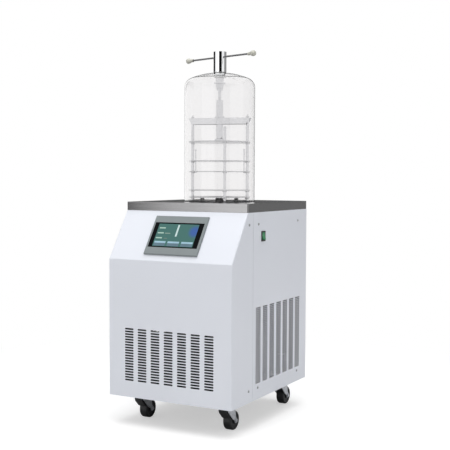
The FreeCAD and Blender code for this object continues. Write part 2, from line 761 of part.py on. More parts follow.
def switch_frame():
    """Black frame of the rocker switch, with its well and pivot holes."""
    face = switch_block(SWITCH_FACE_W, SWITCH_FACE_H, 0, SWITCH_FACE_T)
    body = switch_block(SWITCH_BODY_W, SWITCH_BODY_H, SWITCH_BODY_DEPTH, 0)
    sweep = math.hypot(ROCKER_HALF, ROCKER_CREST) + ROCKER_GAP
    well = switch_block(ROCKER_W + 2 * ROCKER_GAP, 2 * sweep, ROCKER_WELL, SWITCH_FACE_T + 1)
    at = switch_middle()
    half = ROCKER_W / 2 + ROCKER_GAP + ROCKER_PIVOT_LENGTH
    pivot = rod(ROCKER_PIVOT_R + RUNNING, at - Y * half, at + Y * half)
    return fuse([face, body]).cut([well, pivot])


def switch_rocker():
    """Rocker at rest with its lower end out."""
    corners = [(ROCKER_CREST, -ROCKER_HALF), (ROCKER_DIP, 0), (ROCKER_CREST, ROCKER_HALF),
               (-ROCKER_KEEL / 2, ROCKER_HALF - 1), (-ROCKER_KEEL, 0),
               (-ROCKER_KEEL / 2, 1 - ROCKER_HALF)]
    face = polygon([V(x, -ROCKER_W / 2, z) for x, z in corners])
    wedge = face.extrude(Y * ROCKER_W)
    half = ROCKER_W / 2 + ROCKER_PIVOT_LENGTH
    wedge = fuse([wedge, rod(ROCKER_PIVOT_R, V(0, -half, 0), V(0, half, 0))])
    wedge.rotate(V(0, 0, 0), Y, -ROCKER_TILT)
    wedge.translate(switch_middle())
    return wedge


# ---- casters ---------------------------------------------------------------------------------
RACE_LOW = UNDERSIDE - CASTER_PLATE_T - RACE_T
CROWN_TOP = RACE_LOW - CROWN_GAP
CROWN_LOW = CROWN_TOP - CROWN_T
LEG_IN = WHEEL_HUB_W / 2 + LEG_GAP


def caster_places():
    """Swivel axis of each caster on the floor, by name."""
    x = HALF_W - CASTER_SIDE_INSET
    front = FRONT + CASTER_FRONT_INSET
    rear = REAR - CASTER_REAR_INSET
    return {"front_left": V(-x, front, 0), "front_right": V(x, front, 0),
            "rear_left": V(-x, rear, 0), "rear_right": V(x, rear, 0)}


def caster_plate(place):
    """Bolted top plate with the fixed race and the kingpin that carries the fork."""
    half = CASTER_PLATE / 2
    plate = box(-half, half, -half, half, UNDERSIDE - CASTER_PLATE_T, UNDERSIDE)
    race = rod(RACE_R, V(0, 0, RACE_LOW), V(0, 0, UNDERSIDE - CASTER_PLATE_T))
    head_top = CROWN_LOW - LOOSE
    pin = rod(KINGPIN_R, V(0, 0, head_top), V(0, 0, RACE_LOW))
    head = rod(KINGPIN_HEAD_R, V(0, 0, head_top - KINGPIN_HEAD_T), V(0, 0, head_top))
    reach = half - CASTER_BOLT_INSET
    bolts = []
    for x in (-1, 1):
        for y in (-1, 1):
            spot = V(x * reach, y * reach, UNDERSIDE - CASTER_PLATE_T)
            bolts.append(rod(CASTER_BOLT_R, spot - Z * CASTER_BOLT_T, spot))
    whole = fuse([plate, race, pin, head] + bolts)
    whole.translate(place)
    return whole


def fork(place, braked):
    """Pressed fork with its riveted axle; a braked one also has the pedal's pin."""
    crown = rod(CROWN_R, V(0, 0, CROWN_LOW), V(0, 0, CROWN_TOP))
    crown = crown.cut(rod(KINGPIN_R + RUNNING, V(0, 0, CROWN_LOW - 1), V(0, 0, CROWN_TOP + 1)))
    parts = [crown]
    for side in (-1, 1):
        x = min(side * LEG_IN, side * (LEG_IN + FORK_LEG))
        front, back = ([V(x, y, WHEEL_R + share * (CROWN_LOW - WHEEL_R)) for y, share in places]
                       for places in (FORK_FRONT, FORK_BACK))
        leg = polygon([V(x, FORK_SHOULDER, CROWN_LOW), V(x, -FORK_SHOULDER, CROWN_LOW)] + front
                      + [V(x, CASTER_TRAIL - AXLE_EYE_R, WHEEL_R),
                         V(x, CASTER_TRAIL + AXLE_EYE_R, WHEEL_R)] + back).extrude(X * FORK_LEG)
        eye = rod(AXLE_EYE_R, V(x, CASTER_TRAIL, WHEEL_R), V(x + FORK_LEG, CASTER_TRAIL, WHEEL_R))
        parts += [leg, eye]
    out = LEG_IN + FORK_LEG
    axle = V(0, CASTER_TRAIL, WHEEL_R)
    parts.append(rod(AXLE_R, axle - X * out, axle + X * out))
    parts.append(rod(AXLE_HEAD_R, axle - X * (out + AXLE_HEAD_T), axle - X * out))
    parts.append(rod(AXLE_HEAD_R, axle + X * out, axle + X * (out + AXLE_HEAD_T)))
    if braked:
        pin = V(0, PEDAL_PIVOT_Y, PEDAL_PIVOT_Z)
        parts.append(rod(PEDAL_PIN_R, pin - X * out, pin + X * out))
    whole = fuse(parts)
    whole.translate(place)
    return whole


def wheel(place):
    """Moulded wheel with a rounded tread, dished sides and a bored hub."""
    rim = WHEEL_W / 2
    hub = WHEEL_HUB_W / 2
    web = rim - WHEEL_DISH
    bore = AXLE_R + RUNNING
    half = [(bore, hub), (WHEEL_HUB_R, hub), (WHEEL_HUB_R, web), (WHEEL_RIM_R, web),
            (WHEEL_RIM_R, rim), (WHEEL_R, rim)]
    mirror = [(r, -w) for r, w in reversed(half)]
    solid = turned(half + mirror)
    tread = [e for e in solid.Edges
             if e.Closed and abs(e.Curve.Radius - WHEEL_R) < 0.01]
    solid = solid.makeFillet(WHEEL_SHOULDER, tread)
    solid.rotate(V(0, 0, 0), Y, 90)
    solid.translate(place + V(0, CASTER_TRAIL, WHEEL_R))
    return solid


def pedal(place):
    """Foot pedal whose shoe swings down to the tread."""
    face = polygon([V(-PEDAL_W / 2, y, z) for y, z in PEDAL_SIDE])
    solid = face.extrude(X * PEDAL_W)
    solid = solid.cut(rod(PEDAL_PIN_R + RUNNING, V(-PEDAL_W, 0, 0), V(PEDAL_W, 0, 0)))
    solid.translate(place + V(0, PEDAL_PIVOT_Y, PEDAL_PIVOT_Z))
    return solid


# ---- cold trap and ports ---------------------------------------------------------------------
TRAP_LOW = DECK_TOP - TRAP_DEPTH
COIL_R = TRAP_OUTER + COIL_HEADER_R + LOOSE
FOAM_CAVITY_R = COIL_R + COIL_HEADER_R + LOOSE
FOAM_R = FOAM_CAVITY_R + FOAM_WALL
COIL_STUB = FOAM_R - COIL_R + COIL_HEADER_R
COIL_TOP = DECK_TOP - COIL_DROP
COIL_LOW = COIL_TOP - (COIL_RINGS - 1) * COIL_PITCH
PORT_AXIS = V(0, AXIS_Y, DECK_TOP - PORT_DROP)
PORT_R = PORT_BORE_R + PORT_WALL
DRAIN_R = DRAIN_BORE_R + DRAIN_WALL
DRAIN_Z = DECK_TOP - DRAIN_DROP


def cold_trap():
    """Stainless vessel hung from the deck, with a ledge for the baffle."""
    centre = V(0, AXIS_Y, 0)
    flange_low = DECK_UNDER - TRAP_FLANGE_T
    ledge_top = DECK_TOP - BAFFLE_T
    profile = [(0, TRAP_LOW), (TRAP_OUTER, TRAP_LOW), (TRAP_OUTER, flange_low),
               (TRAP_OUTER + TRAP_FLANGE, flange_low), (TRAP_OUTER + TRAP_FLANGE, DECK_UNDER),
               (TRAP_OUTER, DECK_UNDER), (TRAP_OUTER, DECK_TOP), (TRAP_R, DECK_TOP),
               (TRAP_R, ledge_top), (TRAP_R - LEDGE_W, ledge_top),
               (TRAP_R - LEDGE_W, ledge_top - LEDGE_T), (TRAP_R, ledge_top - LEDGE_T),
               (TRAP_R, TRAP_LOW + TRAP_WALL), (0, TRAP_LOW + TRAP_WALL)]
    vessel = turned(profile, centre)
    port = rod(PORT_R, PORT_AXIS, PORT_AXIS + Y * (TRAP_OUTER + 5))
    drain = rod(DRAIN_R, V(0, AXIS_Y, TRAP_LOW - 1), V(0, AXIS_Y, TRAP_LOW + TRAP_WALL + 1))
    return vessel.cut([port, drain])


def trap_insulation():
    """Foam cup round the cold trap and its coil."""
    top = DECK_UNDER - TRAP_FLANGE_T
    floor = TRAP_LOW - FOAM_FLOOR
    cup = turned([(0, floor), (FOAM_R, floor), (FOAM_R, top), (FOAM_CAVITY_R, top),
                  (FOAM_CAVITY_R, TRAP_LOW), (0, TRAP_LOW)], V(0, AXIS_Y, 0))
    port = rod(PORT_R, PORT_AXIS, PORT_AXIS + Y * (FOAM_R + 5))
    drain = rod(DRAIN_R, V(0, AXIS_Y, floor - 1), V(0, AXIS_Y, TRAP_LOW + 1))
    holes = [port, drain]
    for height in (COIL_TOP, COIL_LOW):
        holes.append(rod(LINE_R + LOOSE, V(COIL_R, AXIS_Y, height), V(FOAM_R + 1, AXIS_Y, height)))
    return cup.cut(holes)


def trap_coil():
    """Evaporator: rings of tube round the vessel, joined by a header with an end for each line."""
    parts = []
    for number in range(COIL_RINGS):
        centre = V(0, AXIS_Y, COIL_LOW + number * COIL_PITCH)
        parts.append(Part.makeTorus(COIL_R, COIL_TUBE_R, centre))
    upper = V(COIL_R, AXIS_Y, COIL_TOP)
    lower = V(COIL_R, AXIS_Y, COIL_LOW)
    parts.append(rod(COIL_HEADER_R, lower - Z * COIL_PITCH / 2, upper + Z * COIL_PITCH / 2))
    return fuse(parts + [rod(LINE_R, end, end + X * COIL_STUB) for end in (upper, lower)])


def trap_baffle():
    """Perforated disc that closes the trap's mouth and carries the rack's feet."""
    top = V(0, AXIS_Y, DECK_TOP)
    radius = TRAP_R - LOOSE
    holes = [circle_wire(BAFFLE_EYE_R, top, Z)]
    rings = [(BAFFLE_INNER_RING, BAFFLE_INNER_HOLE_R, BAFFLE_INNER_COUNT),
             (BAFFLE_OUTER_RING, BAFFLE_OUTER_HOLE_R, BAFFLE_OUTER_COUNT)]
    for ring, hole, count in rings:
        for step in range(count):
            holes.append(circle_wire(hole, on_ring(ring, 360 * step / count), Z))
    return pierced_sheet(circle_wire(radius, top, Z), holes, Z * -BAFFLE_T)


def vacuum_port():
    """Pump connection: a straight tube from the trap to a small vacuum flange."""
    start = PORT_AXIS + Y * (TRAP_R - PORT_WALL)
    end = V(0, REAR + PORT_REACH, PORT_AXIS.z)
    body = rod(PORT_R, start, end)
    flange = rod(PORT_FLANGE_R, end - Y * PORT_FLANGE_T, end)
    cone = Part.makeCone(PORT_R, PORT_FLANGE_R, PORT_NECK_T, end - Y * (PORT_FLANGE_T + PORT_NECK_T), Y)
    return fuse([body, flange, cone]).cut(rod(PORT_BORE_R, start - Y, end + Y))


def drain_valve():
    """Drain tube from the trap's floor to a small ball valve with a hose barb."""
    points = [V(0, AXIS_Y, TRAP_LOW), V(0, AXIS_Y, DRAIN_Z), V(0, REAR, DRAIN_Z)]
    tail = bent_tube(points, DRAIN_R, DRAIN_BORE_R, DRAIN_BEND)
    at = V(0, REAR, DRAIN_Z)
    end = at + Y * PORT_REACH
    nut = rod(VALVE_FLANGE_R, at, at + Y * VALVE_FLANGE_T)
    body = rod(VALVE_R, at, at + Y * VALVE_LENGTH)
    barb = rod(BARB_R - BARB_STEP, at, end)
    step = (PORT_REACH - VALVE_LENGTH) / BARB_RINGS
    rings = []
    for number in range(BARB_RINGS):
        base = at + Y * (VALVE_LENGTH + number * step)
        rings.append(Part.makeCone(BARB_R, BARB_R - BARB_STEP, step, base, Y))
    middle = at + Y * (VALVE_LENGTH / 2)
    neck = rod(LEVER_STEM_R + LEVER_NECK_WALL, middle, middle + Z * (VALVE_R + LEVER_NECK_RISE))
    solid = fuse([nut, body, barb, neck] + rings).cut(rod(DRAIN_BORE_R, at - Y, end + Y))
    seat = middle + Z * (DRAIN_BORE_R + LEVER_SEAT)
    solid = solid.cut(rod(LEVER_STEM_R + RUNNING, seat, seat + Z * 2 * VALVE_R))
    return fuse([solid, tail])


def drain_lever():
    """Quarter-turn lever of the drain valve, shown closed, across the tube."""
    at = V(0, REAR + VALVE_LENGTH / 2, DRAIN_Z)
    low = at + Z * (DRAIN_BORE_R + LEVER_SEAT + LOOSE)
    top = at + Z * (VALVE_R + LEVER_STEM_RISE)
    stem = rod(LEVER_STEM_R, low, top)
    arm = box(-LEVER_LENGTH, LEVER_W / 2, at.y - LEVER_W / 2, at.y + LEVER_W / 2, top.z - LEVER_T, top.z)
    corners = [e for e in arm.Edges if abs(e.tangentAt(e.FirstParameter).z) > 0.9]
    arm = arm.makeFillet(LEVER_W / 2 - 0.1, corners)
    return fuse([arm, stem])


def power_inlet():
    """Three-pin mains inlet with its flange outside the rear panel."""
    at = V(INLET_X, REAR, UNDERSIDE + INLET_RISE)
    face = box(at.x - INLET_W / 2, at.x + INLET_W / 2, REAR, REAR + INLET_FACE_T,
               at.z - INLET_H / 2, at.z + INLET_H / 2)
    body = box(at.x - INLET_BODY_W / 2, at.x + INLET_BODY_W / 2, REAR - INLET_BODY_DEPTH, REAR,
               at.z - INLET_BODY_H / 2, at.z + INLET_BODY_H / 2)
    half_w = INLET_BODY_W / 2 - INLET_WALL
    half_h = INLET_BODY_H / 2 - INLET_WALL
    floor = REAR - INLET_BODY_DEPTH + INLET_FLOOR
    well = box(at.x - half_w, at.x + half_w, floor, REAR + INLET_FACE_T + 1,
               at.z - half_h, at.z + half_h)
    pins = []
    for step in (-1, 0, 1):
        x = at.x + step * INLET_PIN_PITCH
        pins.append(box(x - INLET_PIN_W / 2, x + INLET_PIN_W / 2, floor - 1, REAR - INLET_PIN_SINK,
                        at.z - INLET_PIN_H / 2, at.z + INLET_PIN_H / 2))
    return fuse([fuse([face, body]).cut(well)] + pins)


# ---- jar and gland ---------------------------------------------------------------------------
DISH_CENTRE_H = JAR_CROWN_H - JAR_DISH_R


def crown_height(radius, inset=0.0):
    """Height of the jar's crown at a radius, outside or moved in by the wall."""
    return DISH_CENTRE_H + math.sqrt((JAR_DISH_R - inset) ** 2 - radius ** 2)


def jar_form(inset, base):
    """Solid of the jar's outer form moved in by inset, down to a height above the deck."""
    knuckle_x = JAR_R - JAR_KNUCKLE_R
    knuckle_h = DISH_CENTRE_H + math.sqrt((JAR_DISH_R - JAR_KNUCKLE_R) ** 2 - knuckle_x ** 2)
    lean = math.atan2(knuckle_x, knuckle_h - DISH_CENTRE_H)

    def dish(angle):
        r = JAR_DISH_R - inset
        return V(r * math.sin(angle), 0, DISH_CENTRE_H + r * math.cos(angle))

    def knuckle(angle):
        r = JAR_KNUCKLE_R - inset
        return V(knuckle_x + r * math.sin(angle), 0, knuckle_h + r * math.cos(angle))

    quarter = math.pi / 2
    crown = Part.Arc(dish(0), dish(lean / 2), dish(lean)).toShape()
    turn = Part.Arc(knuckle(lean), knuckle((lean + quarter) / 2), knuckle(quarter)).toShape()
    outer = JAR_R - inset
    wall = Part.LineSegment(knuckle(quarter), V(outer, 0, base)).toShape()
    floor = Part.LineSegment(V(outer, 0, base), V(0, 0, base)).toShape()
    axis = Part.LineSegment(V(0, 0, base), dish(0)).toShape()
    solid = Part.Face(Part.Wire([crown, turn, wall, floor, axis])).revolve(V(0, 0, 0), Z, 360)
    solid.translate(axis_point(0))
    return solid


def acrylic_jar():
    """Clear jar with a shallow domed top and a hole for the gland."""
    shell = jar_form(0, GASKET_T).cut(jar_form(JAR_WALL, GASKET_T - 1))
    hole = rod(GLAND_NECK_R + GLAND_HOLE_PLAY, axis_point(JAR_CROWN_H - 50), axis_point(JAR_CROWN_H + 50))
    return shell.cut(hole)


GLAND_CAP_H = crown_height(GLAND_NECK_R) + SEAL_T
GLAND_NUT_TOP_H = crown_height(GLAND_NUT_R, JAR_WALL) - SEAL_T
GLAND_FLANGE_TOP_H = JAR_CROWN_H - GLAND_FLANGE_DROP
GLAND_TIP_H = GLAND_FLANGE_TOP_H - GLAND_FLANGE_T - GLAND_TIP_L
GLAND_END_H = GLAND_TIP_H + GLAND_FLOOR


def jar_seals():
    """Flat gasket under the jar and the two seal rings of the gland."""
    gasket = tube(JAR_R + GASKET_LAND, JAR_INNER - GASKET_LAND, axis_point(0), axis_point(GASKET_T))
    upper = tube(GLAND_CAP_R, GLAND_NECK_R, axis_point(GLAND_CAP_H - SEAL_T), axis_point(GLAND_CAP_H))
    lower = tube(GLAND_NUT_R, GLAND_NECK_R, axis_point(GLAND_NUT_TOP_H),
                 axis_point(GLAND_NUT_TOP_H + SEAL_T))
    return Part.makeCompound([gasket, upper, lower])


def gland_body():
    """Bored spindle housing that passes through the crown of the jar."""
    cap = rod(GLAND_CAP_R, axis_point(GLAND_CAP_H), axis_point(GLAND_CAP_H + GLAND_CAP_T))
    neck = rod(GLAND_NECK_R, axis_point(GLAND_END_H), axis_point(GLAND_CAP_H))
    bore = rod(DRIVE_R + RUNNING, axis_point(GLAND_END_H - 1), axis_point(GLAND_CAP_H + GLAND_CAP_T + 1))
    return fuse([cap, neck]).cut(bore)


def gland_nut():
    """Flanged nut with a tapered tip that clamps the gland from inside the jar."""
    flange_low = GLAND_FLANGE_TOP_H - GLAND_FLANGE_T
    profile = [(DRIVE_R + LOOSE, GLAND_TIP_H), (GLAND_TIP_R, GLAND_TIP_H), (GLAND_NUT_R, flange_low),
               (GLAND_FLANGE_R, flange_low), (GLAND_FLANGE_R, GLAND_FLANGE_TOP_H),
               (GLAND_NUT_R, GLAND_FLANGE_TOP_H), (GLAND_NUT_R, GLAND_NUT_TOP_H),
               (GLAND_NECK_R, GLAND_NUT_TOP_H), (GLAND_NECK_R, GLAND_END_H),
               (DRIVE_R + LOOSE, GLAND_END_H)]
    return turned(profile, axis_point(0))


# ---- T-handle and press ----------------------------------------------------------------------
HUB_BASE_H = GLAND_CAP_H + HUB_GAP
HUB_TOP_H = HUB_BASE_H + HUB_L
BAR_H = HUB_TOP_H - BAR_DROP
BAR_ALONG = V(math.cos(math.radians(BAR_ANGLE)), math.sin(math.radians(BAR_ANGLE)), 0)
HUB_RECESS_H = GLAND_CAP_H + GLAND_CAP_T + LOOSE
FOOT_BASE_H = PRESS_PLATE_H + PRESS_PLATE_T
SCREW_HEAD_H = FOOT_BASE_H + LOOSE
FOOT_CAVITY_H = SCREW_HEAD_H + PRESS_HEAD_T + LOOSE
FOOT_TOP_H = FOOT_CAVITY_H + FOOT_LIP
BARREL_BASE_H = FOOT_TOP_H + LOOSE
PRESS_SCREW_TOP_H = BARREL_BASE_H + PRESS_SCREW_L
DRIVE_TOP_H = BAR_H - BAR_R - DRIVE_WEB
DRIVE_ROUND_END_H = GLAND_TIP_H - DRIVE_SHOULDER
DRIVE_END_H = BARREL_BASE_H + PRESS_SCREW_FLOOR + DRIVE_END_GAP


def handle_hub():
    """Solid handle hub, cross-drilled for the bar and recessed over the gland."""
    hub = rod(HUB_R, axis_point(HUB_BASE_H), axis_point(HUB_TOP_H))
    rims = [e for e in hub.Edges if e.Closed]
    hub = hub.makeChamfer(HUB_CHAMFER, rims)
    recess = rod(GLAND_CAP_R + HUB_SKIRT, axis_point(HUB_BASE_H - 1), axis_point(HUB_RECESS_H))
    bore = rod(DRIVE_R, axis_point(HUB_BASE_H), axis_point(DRIVE_TOP_H))
    middle = axis_point(BAR_H)
    cross = rod(BAR_R, middle - BAR_ALONG * HUB_R * 2, middle + BAR_ALONG * HUB_R * 2)
    return hub.cut([recess, bore, cross])


def t_bar():
    """Straight bar through the hub."""
    middle = axis_point(BAR_H)
    return rod(BAR_R, middle - BAR_ALONG * BAR_HALF, middle + BAR_ALONG * BAR_HALF)


def knob(side):
    """Pear-shaped grip on one end of the bar."""
    tip = V(0, 0, KNOB_LENGTH)
    shoulder = V(KNOB_R, 0, KNOB_BELLY)
    neck = V(KNOB_NECK_R, 0, KNOB_WAIST)
    cap = Part.Arc(tip, V(KNOB_CAP_R, 0, KNOB_BELLY + KNOB_CAP_RISE), shoulder).toShape()
    between = V(KNOB_SWELL_R, 0, (KNOB_BELLY + KNOB_WAIST) / 2)
    swell = Part.Arc(shoulder, between, neck).toShape()
    collar = Part.LineSegment(neck, V(KNOB_NECK_R, 0, 0)).toShape()
    face = Part.LineSegment(V(KNOB_NECK_R, 0, 0), V(0, 0, 0)).toShape()
    axis = Part.LineSegment(V(0, 0, 0), tip).toShape()
    solid = Part.Face(Part.Wire([cap, swell, collar, face, axis])).revolve(V(0, 0, 0), Z, 360)
    solid = solid.cut(rod(BAR_R, V(0, 0, -1), V(0, 0, BAR_HALF - KNOB_START)))
    solid.Placement = FreeCAD.Placement(axis_point(BAR_H) + BAR_ALONG * (side * KNOB_START),
                                        FreeCAD.Rotation(Z, BAR_ALONG * side))
    return solid


def drive_rod():
    """Spindle: round through the gland, square where it slides in the press screw."""
    spindle = rod(DRIVE_R, axis_point(DRIVE_ROUND_END_H), axis_point(DRIVE_TOP_H))
    half = DRIVE_SQUARE / 2
    low = axis_point(DRIVE_END_H)
    square = box(-half, half, AXIS_Y - half, AXIS_Y + half, low.z, axis_point(DRIVE_ROUND_END_H).z)
    return fuse([spindle, square])


def press_screw():
    """Screw barrel with a square bore and a captive head at its foot."""
    barrel = rod(PRESS_SCREW_R, axis_point(BARREL_BASE_H), axis_point(PRESS_SCREW_TOP_H))
    rims = [e for e in barrel.Edges if e.Closed]
    barrel = barrel.makeChamfer(PRESS_SCREW_CHAMFER, rims)
    neck = rod(PRESS_NECK_R, axis_point(SCREW_HEAD_H), axis_point(BARREL_BASE_H))
    head = rod(PRESS_HEAD_R, axis_point(SCREW_HEAD_H), axis_point(SCREW_HEAD_H + PRESS_HEAD_T))
    half = DRIVE_SQUARE / 2 + DRIVE_PLAY
    low = axis_point(BARREL_BASE_H + PRESS_SCREW_FLOOR)
    bore = box(-half, half, AXIS_Y - half, AXIS_Y + half, low.z, axis_point(PRESS_SCREW_TOP_H + 1).z)
    return fuse([barrel, neck, head]).cut(bore)


def press_foot():
    """Split collar that holds the screw's head on the press plate."""
    ring = rod(FOOT_R, axis_point(FOOT_BASE_H), axis_point(FOOT_TOP_H))
    cavity = rod(PRESS_HEAD_R + LOOSE, axis_point(FOOT_BASE_H), axis_point(FOOT_CAVITY_H))
    bore = rod(PRESS_NECK_R + RUNNING, axis_point(FOOT_BASE_H), axis_point(FOOT_TOP_H + 1))
    low = axis_point(FOOT_BASE_H).z
    split = box(-FOOT_SPLIT / 2, FOOT_SPLIT / 2, AXIS_Y - 2 * FOOT_R, AXIS_Y + 2 * FOOT_R,
                low - 1, low + 2 * FOOT_R)
    return ring.cut([cavity, bore, split])


def beam_nut():
    """Flanged nut seated in the head beam."""
    flange = rod(NUT_FLANGE_R, axis_point(BEAM_TOP_H), axis_point(BEAM_TOP_H + NUT_FLANGE_T))
    body = rod(NUT_BODY_R, axis_point(BEAM_TOP_H - NUT_BODY_L), axis_point(BEAM_TOP_H))
    bore = rod(PRESS_SCREW_R + RUNNING, axis_point(BEAM_TOP_H - NUT_BODY_L - 1),
               axis_point(BEAM_TOP_H + NUT_FLANGE_T + 1))
    return fuse([flange, body]).cut(bore)


# ---- shelf rack ------------------------------------------------------------------------------
WEB_LOW_H = BEAM_TOP_H - BEAM_SHEET
POST_ANGLES = (RACK_ANGLE, RACK_ANGLE + 180)


def head_beam():
    """Inverted channel across the two posts, its ends raked back below the web."""
    half = BEAM_LENGTH / 2
    side = BEAM_W / 2
    low = BEAM_TOP_H - BEAM_RISE
    beam = box(-half, half, -side, side, low, BEAM_TOP_H)
    edges = [e for e in beam.Edges if abs(e.tangentAt(e.FirstParameter).x) > 0.9
             and abs(e.CenterOfMass.z - BEAM_TOP_H) < 0.01]
    beam = beam.makeFillet(BEAM_SHEET, edges)
    inner = side - BEAM_SHEET
    channel = box(-half - 1, half + 1, -inner, inner, low - 1, WEB_LOW_H)
    cuts = [channel]
    for end in (-1, 1):
        rake = polygon([V(end * half, -side - 1, WEB_LOW_H), V(end * (half + 1), -side - 1, WEB_LOW_H),
                        V(end * (half + 1), -side - 1, low - 1),
                        V(end * (half - BEAM_END_RAKE), -side - 1, low - 1)])
        cuts.append(rake.extrude(Y * (BEAM_W + 2)))
        spot = V(end * POST_RING_R, 0, 0)
        cuts.append(rod(POST_STUD_R, spot + Z * low, spot + Z * (BEAM_TOP_H + 1)))
    cuts.append(rod(NUT_BODY_R, V(0, 0, low), V(0, 0, BEAM_TOP_H + 1)))
    beam = beam.cut(cuts)
    beam.rotate(V(0, 0, 0), Z, RACK_ANGLE)
    beam.translate(axis_point(0))
    return beam


def rack_rods():
    """The two posts that carry the head beam and the shorter guide rod at the front."""
    rods = []
    for angle in POST_ANGLES:
        post = rod(POST_R, on_ring(POST_RING_R, angle), on_ring(POST_RING_R, angle, WEB_LOW_H))
        stud = rod(POST_STUD_R, on_ring(POST_RING_R, angle, WEB_LOW_H),
                   on_ring(POST_RING_R, angle, BEAM_TOP_H + POST_STUD_L))
        rods.append(fuse([post, stud]))
    top = BEAM_TOP_H - GUIDE_DROP
    guide = rod(GUIDE_R, on_ring(POST_RING_R, GUIDE_ANGLE), on_ring(POST_RING_R, GUIDE_ANGLE, top))
    tip = [e for e in guide.Edges if e.Closed and e.CenterOfMass.z > DECK_TOP + 1]
    rods.append(guide.makeChamfer(GUIDE_TIP, tip))
    return Part.makeCompound(rods)


def post_nuts():
    """Hexagon nuts on the two posts."""
    nuts = []
    for angle in POST_ANGLES:
        centre = on_ring(POST_RING_R, angle, BEAM_TOP_H)
        corners = []
        for step in range(6):
            turn = math.radians(60 * step)
            corners.append(centre + V(POST_NUT_R * math.cos(turn), POST_NUT_R * math.sin(turn), 0))
        hexagon = polygon(corners).extrude(Z * POST_NUT_T)
        nuts.append(hexagon.cut(rod(POST_STUD_R, centre - Z, centre + Z * (POST_NUT_T + 1))))
    return Part.makeCompound(nuts)


def shelf(height, thickness, play, link_hole=0.0, window=0.0):
    """Round shelf with a bush at each rod; the play is what its holes have round the rods."""
    body = rod(SHELF_R, axis_point(height), axis_point(height + thickness))
    holes = []
    bushes = []
    rods = [(POST_R, angle) for angle in POST_ANGLES] + [(GUIDE_R, GUIDE_ANGLE)]
    for radius, angle in rods:
        low = on_ring(POST_RING_R, angle, height - BUSH_T)
        bushes.append(rod(BUSH_R, low, on_ring(POST_RING_R, angle, height)))
        holes.append(rod(radius + play, low - Z, on_ring(POST_RING_R, angle, height + thickness + 1)))
    if link_hole:
        for angle in POST_ANGLES:
            holes.append(rod(link_hole, on_ring(LINK_RING_R, angle, height - 1),
                             on_ring(LINK_RING_R, angle, height + thickness + 1)))
    if window:
        holes.append(rod(window, axis_point(height - 1), axis_point(height + thickness + 1)))
    return fuse([body] + bushes).cut(holes)


def shelf_links():
    """Two headed rods fixed in the third shelf, which pass freely through the second."""
    links = []
    for angle in POST_ANGLES:
        nut_low = SHELF_3_H - LINK_HEAD_T
        stem = rod(LINK_R, on_ring(LINK_RING_R, angle, nut_low), on_ring(LINK_RING_R, angle, LINK_TOP_H))
        nut = rod(LINK_HEAD_R, on_ring(LINK_RING_R, angle, nut_low), on_ring(LINK_RING_R, angle, SHELF_3_H))
        head = rod(LINK_HEAD_R, on_ring(LINK_RING_R, angle, LINK_TOP_H - LINK_HEAD_T),
                   on_ring(LINK_RING_R, angle, LINK_TOP_H))
        links.append(fuse([stem, nut, head]))
    return Part.makeCompound(links)


def rack_feet():
    """Four tapered rubber feet under the rack's base."""
    feet = []
    for step in range(4):
        spot = on_ring(FOOT_RING_R, FOOT_ANGLE + 90 * step)
        feet.append(Part.makeCone(RACK_FOOT_R, RACK_FOOT_NECK_R, RACK_BASE_H, spot, Z))
    return Part.makeCompound(feet)


# ---- refrigeration plant ---------------------------------------------------------------------
COMPRESSOR_AT = V(COMPRESSOR_X, FRONT + COMPRESSOR_SETBACK, PAN_FLOOR)
COMPRESSOR_TOP = PAN_FLOOR + COMPRESSOR_LIFT + COMPRESSOR_RISE
CONDENSER_FRONT = FRONT + CONDENSER_SETBACK
CONDENSER_BACK = CONDENSER_FRONT + CONDENSER_T
CONDENSER_TOP = PAN_FLOOR + CONDENSER_H
FAN_Z = PAN_FLOOR + CONDENSER_H / 2
RING_R = FAN_R + FAN_TIP_GAP
RING_BACK = CONDENSER_BACK + CONDENSER_FRAME_T + FAN_RING_DEPTH


def compressor():
    """Welded hermetic compressor can with its seam, on a four-legged foot plate."""
    low = COMPRESSOR_LIFT
    can = rod(COMPRESSOR_R, V(0, 0, low), V(0, 0, low + COMPRESSOR_RISE))
    rims = [e for e in can.Edges if e.Closed]
    can = can.makeFillet(COMPRESSOR_KNUCKLE, rims)
    belt_low = low + BELT_RISE
    belt = rod(COMPRESSOR_R + BELT_T, V(0, 0, belt_low), V(0, 0, belt_low + BELT_T))
    half_w = COMPRESSOR_FOOT_W / 2
    half_d = COMPRESSOR_FOOT_D / 2
    plate = box(-half_w, half_w, -half_d, half_d, low, low + COMPRESSOR_FOOT_T)
    legs = []
    for x in (-1, 1):
        for y in (-1, 1):
            spot = V(x * (half_w - COMPRESSOR_LEG_INSET), y * (half_d - COMPRESSOR_LEG_INSET), 0)
            legs.append(rod(COMPRESSOR_LEG_R, spot, spot + Z * low))
    whole = fuse([can, belt, plate] + legs)
    whole.translate(COMPRESSOR_AT)
    return whole


